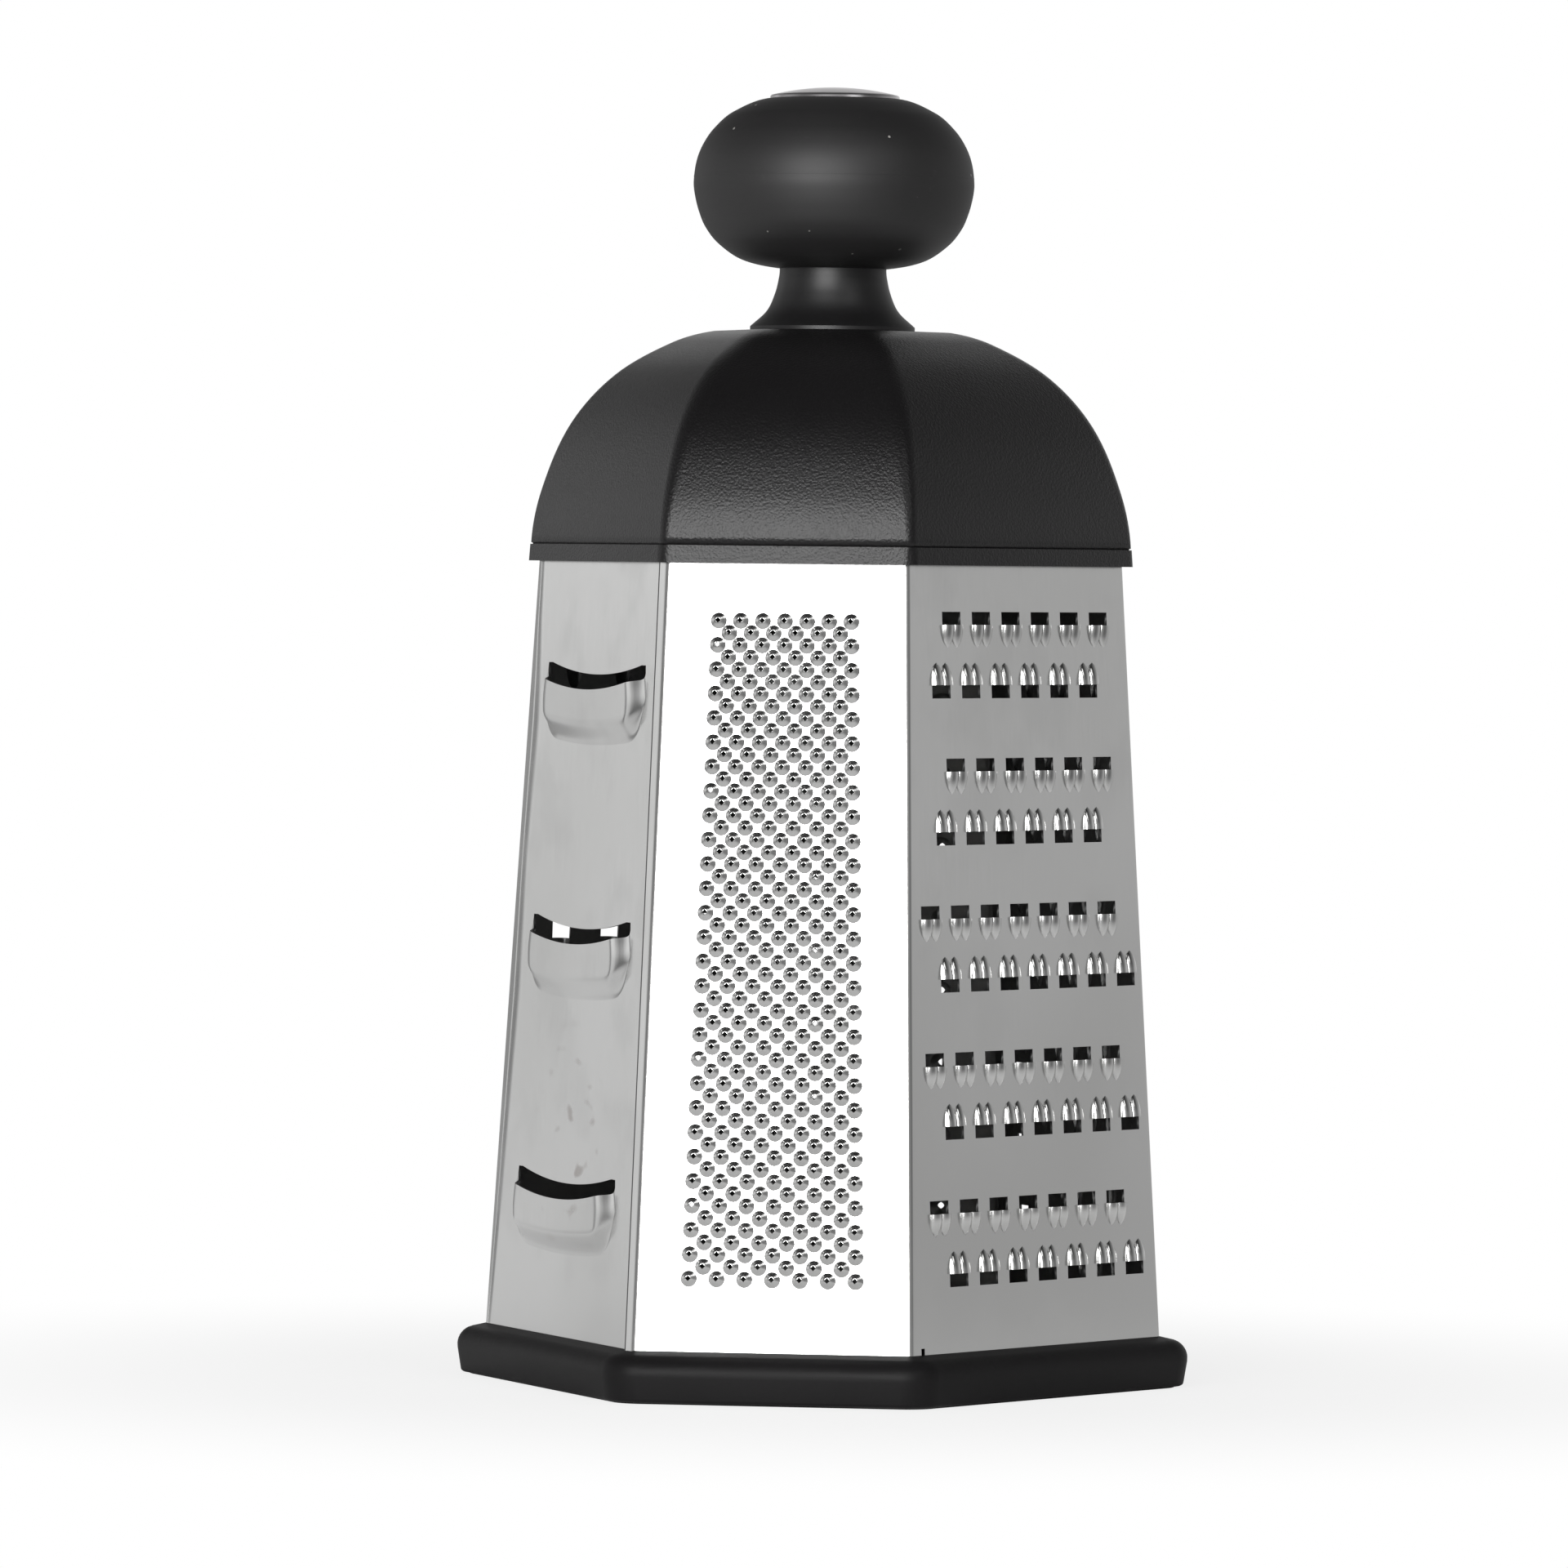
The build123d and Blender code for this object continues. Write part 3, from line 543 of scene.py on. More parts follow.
def attach(piece: Object, slot: Slot, node: str) -> None:
    """Dresses a finished piece, ties it to the body and lets it stand for its CAD node."""
    piece.data.materials.clear()
    piece.data.materials.append(material_of(slot))
    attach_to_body(piece, ROOT_BODY)
    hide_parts(node)
    log.info("%s: %d faces, stands for %s", piece.name, len(piece.data.polygons), node)


def dress_copy(node: str, name: str, slot: Slot, bevel: float = 0.0, sharp_angle: float = 32.0) -> None:
    """Copies a CAD node, welds its triangles, shades it smooth and dresses it.

    Args:
        node: the CAD node.
        name: name of the new piece.
        slot: its material slot.
        bevel: width in millimetres of a rounding on its sharp edges, or 0.
        sharp_angle: edges that turn by more than this many degrees are sharp.
    """
    bm = bmesh.new()
    bm.from_mesh(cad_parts[node].data)
    bmesh.ops.remove_doubles(bm, verts=bm.verts, dist=WELD_DISTANCE)
    bmesh.ops.dissolve_limit(bm, angle_limit=FLAT_ANGLE, verts=bm.verts, edges=bm.edges)
    piece = piece_from(mesh_from(bm, name, sharp_angle), name)
    if bevel > 0.0:
        modifier = piece.modifiers.new("edge_rounding", "BEVEL")
        modifier.width = bevel * MM
        modifier.segments = 2
        modifier.limit_method = "ANGLE"
        modifier.angle_limit = BEVEL_ANGLE
        modifier.harden_normals = True
        bake_modifiers(piece)
    attach(piece, slot, node)


def smooth_curve(points: Sequence[Point], steps: int, start: Point, end: Point) -> list[Point]:
    """Smooth line through points.

    Args:
        points: the points to pass through.
        steps: spans between two points.
        start: direction at the first point.
        end: direction at the last point.

    Returns:
        Points along the line.
    """
    knots = [Vector(p) for p in points]
    slopes = [Vector(start), *(after - before for before, after in zip(knots, knots[2:])), Vector(end)]
    line: list[Point] = []
    for i in range(len(knots) - 1):
        chord = (knots[i + 1] - knots[i]).length
        out, into = slopes[i].normalized() * chord, slopes[i + 1].normalized() * chord
        for j in range(steps):
            t = j / steps
            a, b = 2 * t**3 - 3 * t**2 + 1, t**3 - 2 * t**2 + t
            c, d = -2 * t**3 + 3 * t**2, t**3 - t**2
            p = knots[i] * a + out * b + knots[i + 1] * c + into * d
            line.append((p.x, p.y))
    line.append((knots[-1].x, knots[-1].y))
    return line


def rounded_corner(before: Point, corner: Point, after: Point, setback: float, steps: int) -> list[Point]:
    """Points round one corner of a line, from a setback before it to a setback after it."""
    here = Vector(corner)
    a, b = (here + (Vector(p) - here).normalized() * setback for p in (before, after))
    shares = [i / steps for i in range(steps + 1)]
    return [(a * (1 - t) ** 2 + here * 2 * t * (1 - t) + b * t**2).to_tuple() for t in shares]


def skin(bm: BMesh, rings: Sequence[Sequence[BMVert]]) -> None:
    """Joins closed rings of points by faces, which shrink to triangles where a ring is a single point."""
    for low, high in zip(rings, rings[1:]):
        for i in range(len(low)):
            j = (i + 1) % len(low)
            corners = list(dict.fromkeys([low[i], low[j], high[j], high[i]]))
            if len(corners) > 2:
                bm.faces.new(corners)


def turned(profile: Sequence[Point], name: str, segments: int = 128, sharp_angle: float = 35.0) -> Object:
    """Turned piece on the Z axis.

    Args:
        profile: (radius, height) points in millimetres; a radius of 0 closes the form.
        name: name of the piece.
        segments: faces around.
        sharp_angle: edges that turn by more than this many degrees are sharp.

    Returns:
        The piece.
    """
    bm = bmesh.new()
    rings: list[list[BMVert]] = []
    for radius, height in profile:
        if radius < 1e-6:
            rings.append([bm.verts.new((0.0, 0.0, height * MM))] * segments)
            continue
        angles = [2 * math.pi * i / segments for i in range(segments)]
        rings.append([bm.verts.new((radius * math.cos(a) * MM, radius * math.sin(a) * MM, height * MM))
                      for a in angles])
    skin(bm, rings)
    bmesh.ops.recalc_face_normals(bm, faces=bm.faces)
    return piece_from(mesh_from(bm, name, sharp_angle), name)


# Geometry Nodes rows


@dataclass
class Pressing:
    """One pressed shape: its surface, and the outline of the hole that it fills in the sheet."""

    mesh: Mesh
    outline: list[int]
    opening: list[Point] = field(default_factory=list)


@dataclass
class Rows:
    """Rows of one pressing on a face, counted from the top."""

    rows: int
    per_row: int
    row_pitch: float
    top_pitch: float
    foot_pitch: float
    top_height: float
    shift: float = 0.0
    stagger: int = 1
    swing: float = 0.0
    turn_odd: bool = False
    odd_rise: float = 0.0
    short_rows: int = 0

    def sizes(self) -> dict[str, tuple[str, Any]]:
        """Inputs of the tree, named after the fields: socket type and value, with lengths in metres."""
        sizes: dict[str, tuple[str, Any]] = {}
        for item in fields(self):
            value = getattr(self, item.name)
            is_length = isinstance(value, float)
            sizes[item.name] = ("NodeSocketFloat", value * MM) if is_length else ("NodeSocketInt", int(value))
        return sizes

    def build_tree(self, name: str, template: Object,
                   material: Material) -> NodeTree:
        """Builds the tree that lays the template out.

        Args:
            name: name of the tree.
            template: object that is repeated.
            material: material of the result.

        Returns:
            The Geometry Nodes tree.
        """
        tree = bpy.data.node_groups.new(name, "GeometryNodeTree")
        tree.interface.new_socket(name="Geometry", in_out="OUTPUT", socket_type="NodeSocketGeometry")
        for size, (kind, _) in self.sizes().items():
            tree.interface.new_socket(name=size, in_out="INPUT", socket_type=kind)
        n = Nodes(tree)
        inputs = n.add("NodeGroupInput")
        get = {size: Signal(n, inputs.outputs[size]) for size in self.sizes()}
        index = n.out("GeometryNodeInputIndex")
        row = ((index + 0.5) / get["per_row"]).floor()
        column = index - row * get["per_row"]
        odd = row - (row / 2.0 + 0.25).floor() * 2.0
        count = get["per_row"] - odd * get["stagger"]
        pitch = (row / (get["rows"] - 1.0).larger(1.0)).between(get["top_pitch"], get["foot_pitch"])
        side = 1.0 - odd * 2.0
        x = get["shift"] + (column - (count - 1.0) / 2.0) * pitch - side * get["swing"]
        y = get["top_height"] - row * get["row_pitch"] + odd * get["odd_rise"]
        first = (column < 0.5) * (1.0 - odd)
        last = (column > get["per_row"] - 1.5) * odd
        dropped = (row < get["short_rows"] - 0.5) * (first + last)
        keep = (column < count - 0.5) * (1.0 - dropped)
        total = get["rows"] * get["per_row"]
        line = n.add("GeometryNodeMeshLine", None, {"Count": total})
        place = n.vector(x, y, 0.0)
        placed = n.add("GeometryNodeSetPosition", None, {"Geometry": line.outputs[0], "Position": place})
        turn = n.vector(0.0, 0.0, odd * get["turn_odd"] * math.pi)
        source = n.add("GeometryNodeObjectInfo", None, {"Object": template})
        values = {"Points": placed.outputs[0], "Selection": keep, "Instance": source.outputs["Geometry"],
                  "Rotation": turn}
        copies = n.add("GeometryNodeInstanceOnPoints", None, values)
        real = n.add("GeometryNodeRealizeInstances", None, {"Geometry": copies.outputs[0]})
        dressed = n.add("GeometryNodeSetMaterial", None, {"Geometry": real.outputs[0], "Material": material})
        n.add("NodeGroupOutput", None, {0: dressed.outputs[0]})
        return tree

    def lay_out(self, pressing: Pressing, name: str) -> tuple[Mesh, list[list[Point]]]:
        """Repeats a pressing in these rows.

        Args:
            pressing: the pressing to repeat.
            name: name of the result.

        Returns:
            The mesh of all the copies, and the outline of each copy's hole in the sheet.
        """
        template = piece_from(pressing.mesh, name + "_template")
        holder = piece_from(bpy.data.meshes.new(name + "_holder"), name + "_holder")
        tree = self.build_tree(name, template, material_of(Slot.STEEL))
        modifier = holder.modifiers.new("rows", "NODES")
        modifier.node_group = tree
        by_name = {item.name: item.identifier for item in tree.interface.items_tree}
        for size, (_, value) in self.sizes().items():
            modifier[by_name[size]] = value
        mesh = evaluated_mesh(holder, name)
        count = len(mesh.vertices) // len(pressing.mesh.vertices)
        outlines = [self.outline_of(mesh, pressing, k) for k in range(count)]
        for spare in (holder, template):
            bpy.data.objects.remove(spare)
        return mesh, outlines

    def outline_of(self, mesh: Mesh, pressing: Pressing, copy: int) -> list[Point]:
        """Outline of one copy's hole, in metres on the face."""
        size = len(pressing.mesh.vertices)
        places = [mesh.vertices[copy * size + i].co for i in pressing.outline]
        line = [(p.x, p.y) for p in places]
        if pressing.opening:
            template = [pressing.mesh.vertices[i].co for i in pressing.outline]
            start, end = template[0].xy, template[-1].xy
            across, now = end - start, places[-1].xy - places[0].xy
            turn = 1.0 if across.dot(now) > 0.0 else -1.0
            for x, y in pressing.opening:
                offset = (Vector((x, y)) * MM - start) * turn
                line.append((places[0].x + offset.x, places[0].y + offset.y))
        return line


# Pressed shapes


def grid_mesh(name: str, columns: int, rows: int, place: Callable[[float, float], Place3]) -> Mesh:
    """Surface over a grid.

    Args:
        name: name of the mesh.
        columns: spans across.
        rows: spans down.
        place: turns a share across and a share down into a place in millimetres.

    Returns:
        The mesh, with the vertex of column i and row j at i * (rows + 1) + j.
    """
    bm = bmesh.new()
    lines = [[bm.verts.new([c * MM for c in place(i / columns, j / rows)]) for j in range(rows + 1)]
             for i in range(columns + 1)]
    for left, right in zip(lines, lines[1:]):
        for j in range(rows):
            bm.faces.new((left[j], left[j + 1], right[j + 1], right[j]))
    return plain_mesh(bm, name)


def joined(meshes: Iterable[Mesh], name: str) -> Mesh:
    """Joins meshes in order, without welding them."""
    bm = bmesh.new()
    for mesh in meshes:
        bm.from_mesh(mesh)
    return plain_mesh(bm, name)


@dataclass
class Cone:
    """Round pressing with a four-pointed hole at its tip."""

    radius: float = 1.49
    height: float = 0.60
    hole: float = 0.55
    sides: int = 20
    lift: float = 0.12
    lean: float = -0.08

    def pressing(self, name: str) -> Pressing:
        """Builds the pressing."""
        profile = [(1.0, 0.0), (0.97, 0.045), (0.88, 0.18), (0.72, 0.44), (0.56, 0.71), (0.42, 0.95)]
        bm = bmesh.new()
        rings = []
        for out, rise in profile:
            rings.append(self.ring(bm, [self.radius * out] * self.sides, rise))
        corner = [self.hole / (abs(math.cos(a)) + abs(math.sin(a))) for a in self.angles()]
        rings.append(self.ring(bm, corner, 1.0))
        skin(bm, rings)
        return Pressing(plain_mesh(bm, name), list(range(self.sides)))

    def angles(self) -> list[float]:
        """Angles of the points round the cone."""
        return [2 * math.pi * i / self.sides for i in range(self.sides)]

    def ring(self, bm: BMesh, radii: Sequence[float], rise: float) -> list[BMVert]:
        """One ring of points at a share of the height, moved off the middle by the same share."""
        x, y, z = (reach * rise for reach in (self.lean, self.lift, self.height))
        return [bm.verts.new(((r * math.cos(a) + x) * MM, (r * math.sin(a) + y) * MM, z * MM))
                for r, a in zip(radii, self.angles())]


@dataclass
class Hoods:
    """Opening with one or two half-round hoods pressed up below it."""

    half_width: float
    height: float
    length: float
    mouth: float
    pair: bool = False
    columns: int = 10
    rows: int = 7

    def place(self, centre: float, across: float, down: float) -> Place3:
        """Place on a hood, from shares across and down it."""
        angle = math.pi * (1.0 - across)
        width = self.half_width * max(0.0, 1.0 - down**3.0) ** 0.6
        rise = self.height * (1.0 - down**2.0)
        y = -self.length * down
        return centre + width * math.cos(angle), y, rise * math.sin(angle) ** 0.85

    def pressing(self, name: str) -> Pressing:
        """Builds the pressing, with its mouth on the X axis and its tail down."""
        centres = [-self.half_width, self.half_width] if self.pair else [0.0]
        meshes = []
        outline: list[int] = []
        size = (self.columns + 1) * (self.rows + 1)
        for k, centre in enumerate(centres):
            meshes.append(grid_mesh(name, self.columns, self.rows,
                                    lambda across, down, c=centre: self.place(c, across, down)))
            left = [k * size + j for j in range(self.rows + 1)]
            right = [k * size + self.columns * (self.rows + 1) + j for j in range(self.rows)]
            outline += left + right[::-1]
        reach = self.half_width * len(centres)
        opening = [(reach, self.mouth), (-reach, self.mouth)]
        return Pressing(joined(meshes, name), outline, opening)


@dataclass
class Pocket:
    """Smile-shaped slot over a raised pocket whose upper rim is the cutting edge."""

    half_width: float = 24.8
    sag: float = 2.4
    gap: float = 2.9
    depth: float = 15.4
    lift: float = 2.2
    foot_lift: float = 1.9
    side_wall: float = 4.6
    foot_wall: float = 4.2
    flare: float = 0.9
    corner: float = 7.0
    lip_corner: float = 1.3
    foot_sag: float = 1.4
    columns: int = 52
    rows: int = 18

    def lip(self, x: float) -> float:
        """Height of the cutting edge at a place across, which turns up at its ends."""
        over = min(1.0, max(0.0, abs(x) - (self.half_width - self.lip_corner)) / self.lip_corner)
        turn = self.lip_corner * 0.8 * (1.0 - math.sqrt(1.0 - over**2))
        return turn - self.gap - self.sag * (1.0 - (x / self.half_width) ** 2)

    def foot(self, x: float) -> float:
        """Height of the pocket's foot at a place across."""
        over = max(0.0, abs(x) - (self.half_width - self.corner)) / self.corner
        rise = self.foot_sag * (x / self.half_width) ** 2
        return rise - self.depth + self.corner * 0.8 * (1.0 - math.sqrt(max(0.0, 1.0 - over**2)))

    def place(self, across: float, down: float) -> Place3:
        """Place on the pocket, from shares across and down it."""
        t = 2.0 * across - 1.0
        x = self.half_width * (1.42 * t - 0.42 * t**3)
        top, bottom = self.lip(x), self.foot(x)
        share = 0.5 * down + 0.5 * down**0.8
        y = top + (bottom - top) * share
        side = step((self.half_width - abs(x)) / self.side_wall)
        foot = step((y - bottom) / self.foot_wall) if down < 1.0 else 0.0
        full = self.lift + (self.foot_lift - self.lift) * share
        return x + self.flare * t * math.sin(math.pi * min(1.0, 1.3 * share)), y, full * side * foot

    def upper_edge(self) -> list[Point]:
        """Upper edge of the slot, from right to left, with rounded ends."""
        steps = 24
        end = 1.0
        line = []
        for i in range(steps + 1):
            x = (self.half_width - 0.2) * (1.0 - 2.0 * i / steps)
            edge = abs(x) - (self.half_width - end)
            drop = end * (1.0 - math.sqrt(max(0.0, 1.0 - (edge / end) ** 2))) if edge > 0.0 else 0.0
            line.append((x, -self.sag * (1.0 - (x / self.half_width) ** 2) - drop))
        return line

    def pressing(self, name: str) -> Pressing:
        """Builds the pressing, with the ends of the slot on the X axis."""
        mesh = grid_mesh(name, self.columns, self.rows, self.place)
        height = self.rows + 1
        left = list(range(height))
        foot = [i * height + self.rows for i in range(1, self.columns)]
        right = [self.columns * height + j for j in range(self.rows, -1, -1)]
        return Pressing(mesh, left + foot + right, self.upper_edge())


def step(share: float) -> float:
    """Smooth step from 0 to 1."""
    share = min(1.0, max(0.0, share))
    return share * share * (3.0 - 2.0 * share)


FINE_ROWS = Rows(rows=55, per_row=7, row_pitch=2.203, top_pitch=4.03, foot_pitch=5.06, top_height=132.1,
                 shift=-0.3)
FANGS = Hoods(half_width=1.375, height=1.2, length=4.1, mouth=2.4, pair=True)
SHRED_ROWS = Rows(rows=10, per_row=7, row_pitch=13.307, top_pitch=8.96, foot_pitch=8.96, top_height=131.65,
                  shift=1.1, stagger=0, swing=2.67, turn_odd=True, odd_rise=2.4, short_rows=4)
MEDIUM_HOOD = Hoods(half_width=2.0, height=1.15, length=4.4, mouth=1.5, columns=12)
MEDIUM_ROWS = Rows(rows=18, per_row=7, row_pitch=6.8, top_pitch=7.6, foot_pitch=7.6, top_height=128.2)
COARSE_HOOD = Hoods(half_width=2.8, height=1.75, length=7.0, mouth=4.0, columns=14, rows=9)
COARSE_ROWS = Rows(rows=9, per_row=4, row_pitch=13.4, top_pitch=14.4, foot_pitch=14.4, top_height=125.2,
                   shift=0.1)
RASP = Cone(radius=2.1, height=1.15, hole=0.9)
RASP_ROWS = Rows(rows=19, per_row=5, row_pitch=6.9, top_pitch=7.0, foot_pitch=7.0, top_height=130.0)
SLOT_ROWS = Rows(rows=3, per_row=1, row_pitch=46.8, top_pitch=1.0, foot_pitch=1.0, top_height=124.1,
                 shift=-0.5, stagger=0)


# Steel body


@dataclass
class Panel:
    """One face of a sheet: its side, and the rows and shape of its pressings."""

    side: Side
    rows: Rows
    shape: Any


@dataclass
class SteelBody:
    """The six steel faces, bent from two sheets that lap at two opposite corners."""

    base_top: float = 9.4
    rim_bottom: float = 151.7
    half_width: float = 63.3
    front_half_width: float = 25.35
    top_half_width: float = 54.7
    thickness: float = 0.4
    bend_radius: float = 1.1
    lap_radius: float = 2.0
    foot: float = 4.2
    head: float = 153.6
    lap_width: float = 1.4
    # Painted shadow: width of the dark strip at the lap's edge, which stands for the shadow of the gap under
    # it.
    lap_burr: float = 0.3
    lap_gap: float = 0.05
    lap_spring: int = 4
    lap_setback: float = 2.0
    # Painted shade: share of the dark colour on the sheet's inner side, which stands for the shade inside the
    # body.
    inner_dullness: float = 0.7
    bend_steps: int = 10
    bend_run: float = 0.3
    buckle: tuple[Point, ...] = (
        (0.0, 2.2), (11.4, 2.4), (35.6, 4.3), (55.0, 5.4), (72.0, 6.5), (84.0, 5.8), (96.0, 5.0),
        (110.0, 5.8), (120.5, 6.8), (131.0, 5.8), (140.0, 4.0), (160.0, 2.6),
    )
    buckle_crest: float = 0.5
    rise_steps: int = 4
    fall_steps: int = 8
    buckle_turn: float = math.radians(12.0)
    buckle_levels: int = 24
    relief_width: float = 1.0
    relief_top: float = 10.6
    relief_place: float = 3.4
    sharp_angle: float = 38.0

    @property
    def top_share(self) -> float:
        """Size of the steel at the rim as a share of its size at the base ring."""
        return self.top_half_width / self.half_width

    def apothem(self, side: Side) -> float:
        """Distance from the axis to a face, at the top of the base ring."""
        if side.narrow:
            return (self.half_width - self.front_half_width) * math.tan(CORNER_TURN)
        return self.half_width * math.cos(CORNER_TURN / 2.0)

    def half(self, side: Side) -> float:
        """Half the width of a face, at the top of the base ring."""
        return self.front_half_width if side.narrow else self.half_width - self.front_half_width

    def shift(self, side: Side) -> float:
        """Distance along a face from the foot of its perpendicular to its middle."""
        if side.narrow:
            return 0.0
        reach = self.half(side) - self.half_width * math.sin(CORNER_TURN / 2.0)
        return reach if side in (Side.BACK_RIGHT, Side.FRONT_LEFT) else -reach

    def normal(self, side: Side) -> Vector:
        """Outward normal of a face."""
        lean = self.apothem(side) * (1.0 - self.top_share) / (self.rim_bottom - self.base_top)
        return (side.across + Vector((0.0, 0.0, lean))).normalized()

    def right(self, side: Side) -> Vector:
        """Level direction along a face."""
        return Vector((-side.across.y, side.across.x, 0.0))

    def origin(self, side: Side, lift: float = 0.0) -> Vector:
        """Middle of a face at the top of the base ring, in millimetres."""
        foot = side.across * self.apothem(side) + self.right(side) * self.shift(side)
        return foot + Vector((0.0, 0.0, self.base_top)) + self.normal(side) * lift

    def matrix(self, side: Side) -> Matrix:
        """Turns face coordinates in metres into the frame."""
        x, z = self.right(side), self.normal(side)
        return turned_to(x, z.cross(x), z, self.origin(side) * MM)

    def corner(self, first: tuple[Side, float], second: tuple[Side, float], z: float) -> Vector:
        """Point at height z on the line where two lifted faces meet."""
        planes = [(self.origin(*face), self.normal(face[0])) for face in (first, second)]
        point, along = intersect_plane_plane(*planes[0], *planes[1])
        return intersect_line_plane(point, point + along, Vector((0, 0, z)), Vector((0, 0, 1)))

    def bend_points(self, first: tuple[Side, float], second: tuple[Side, float], z: float) -> list[Vector]:
        """Points round a bend at one height, from the first face to the second."""
        a, b = self.normal(first[0]), self.normal(second[0])
        along = a.cross(b).normalized()
        radius = self.lap_radius if first[1] > 0.0 else self.bend_radius
        setback = radius * math.tan(a.angle(b) / 2.0)
        start = self.corner(first, second, z) + a.cross(along) * setback
        centre = start - a * radius
        line = [centre + a.slerp(b, i / self.bend_steps) * radius for i in range(self.bend_steps + 1)]
        before, after = a.cross(along) * self.bend_run, -b.cross(along) * self.bend_run
        if not self.buckled(first[0], second[0]):
            return [line[0] + before, *line, line[-1] + after]
        reach = next(low + (high - low) * (z - a_z) / (b_z - a_z)
                     for (a_z, low), (b_z, high) in zip(self.buckle, self.buckle[1:]) if z <= b_z)
        height = reach * (1.0 - self.buckle_crest) * math.tan(self.buckle_turn) / 2.0
        up, down = self.rise_steps, self.fall_steps
        shape = [(self.buckle_crest * i / up, i / up) for i in range(1, up + 1)]
        left = [1.0 - i / down for i in range(1, down + 1)]
        shape += [(1.0 - (1.0 - self.buckle_crest) * share, share**2) for share in left]
        run = [line[-1] - b.cross(along) * reach * out + b * height * rise for out, rise in shape]
        return [line[0] + before, *line, *run, run[-1] + after]

    def buckled(self, first: Side, second: Side) -> bool:
        """True for the corner along which the slicing face is slightly buckled."""
        return (first, second) == (Side.BACK_LEFT, Side.FRONT_LEFT)

    def levels(self, first: Side, second: Side) -> list[float]:
        """Heights at which a bend gets a line of points."""
        count = self.buckle_levels if self.buckled(first, second) else 1
        return [self.foot + (self.head - self.foot) * i / count for i in range(count + 1)]

    def free_edge(self, side: Side, neighbour: Side, z: float) -> Vector:
        """Point on the edge of a face that stops short of its right neighbour."""
        corner = self.corner((side, 0.0), (neighbour, 0.0), z)
        along = self.normal(side).cross(self.normal(neighbour)).normalized()
        return corner + self.normal(side).cross(along) * self.lap_setback

    def add_plate(self, bm: BMesh, side: Side, outline: Sequence[Vector],
                  holes: Sequence[Sequence[Point]]) -> None:
        """Adds a flat face with holes.

        Args:
            bm: mesh that is added to, in metres.
            side: the face.
            outline: its corners in the frame, in millimetres.
            holes: outlines of its holes, in metres on the face.
        """
        place = self.matrix(side)
        back = place.inverted()
        loops = [[(back @ (corner * MM)).xy for corner in outline]]
        loops += [[Vector(p) for p in hole] for hole in holes]
        points: list[Vector] = []
        edges: list[tuple[int, int]] = []
        owner: list[int] = []
        for k, loop in enumerate(loops):
            start = len(points)
            points += loop
            owner += [k] * len(loop)
            edges += [(start + i, start + (i + 1) % len(loop)) for i in range(len(loop))]
        result = delaunay_2d_cdt(points, edges, [], 1, 1e-9)
        flat, triangles, sources = result[0], result[2], result[3]
        verts = [bm.verts.new(place @ Vector((p.x, p.y, 0.0))) for p in flat]
        owners = [owner[s[0]] if s else -1 for s in sources]
        for triangle in triangles:
            ids = {owners[i] for i in triangle}
            if len(ids) == 1 and ids != {0}:
                middle = sum((flat[i] for i in triangle), Vector((0.0, 0.0))) / 3.0
                if inside(middle, loops[ids.pop()]):
                    continue
            bm.faces.new([verts[i] for i in triangle])[bm.faces.layers.int["flat"]] = 1

    def add_bend(self, bm: BMesh, low: Sequence[Vector], high: Sequence[Vector]) -> None:
        """Adds a bent strip between two lines of points."""
        lines = [[bm.verts.new(p * MM) for p in line] for line in (low, high)]
        for i in range(len(low) - 1):
            bm.faces.new((lines[0][i], lines[0][i + 1], lines[1][i + 1], lines[1][i]))

    def relief_outline(self, panel: Panel, left_foot: Vector) -> list[Vector]:
        """Corners of the small slot at the foot of a face, from left to right."""
        place = self.matrix(panel.side)
        x = -self.half(panel.side) + self.relief_place
        top = self.relief_top - self.base_top
        foot = (place.inverted() @ (left_foot * MM)).y / MM
        half = self.relief_width / 2.0
        corners = [(x - half, foot), (x - half, top), (x + half, top), (x + half, foot)]
        return [place @ Vector((a * MM, b * MM, 0.0)) / MM for a, b in corners]

    def sheet(self, name: str, panels: Sequence[Panel], lapped: Side) -> Object:
        """Builds one sheet.

        Args:
            name: name of the piece.
            panels: its three faces, from the one that carries the lap to the one with the free edge.
            lapped: the face of the other sheet that its lap covers.

        Returns:
            The piece, without a finish.
        """
        bm = bmesh.new()
        bm.faces.layers.int.new("flat")
        bm.faces.layers.int.new("burr")
        lap = (lapped, self.thickness + self.lap_gap)
        faces = [lap, *[(panel.side, 0.0) for panel in panels]]
        next_side = {Side.BACK_RIGHT: Side.BACK, Side.FRONT_LEFT: Side.FRONT}[panels[-1].side]
        bends = [
            [self.bend_points(a, b, z) for z in self.levels(a[0], b[0])]
            for a, b in zip(faces, faces[1:])
        ]
        bends[0] = [line[self.lap_spring:] for line in bends[0]]
        for bend in bends:
            for low, high in zip(bend, bend[1:]):
                self.add_bend(bm, low, high)
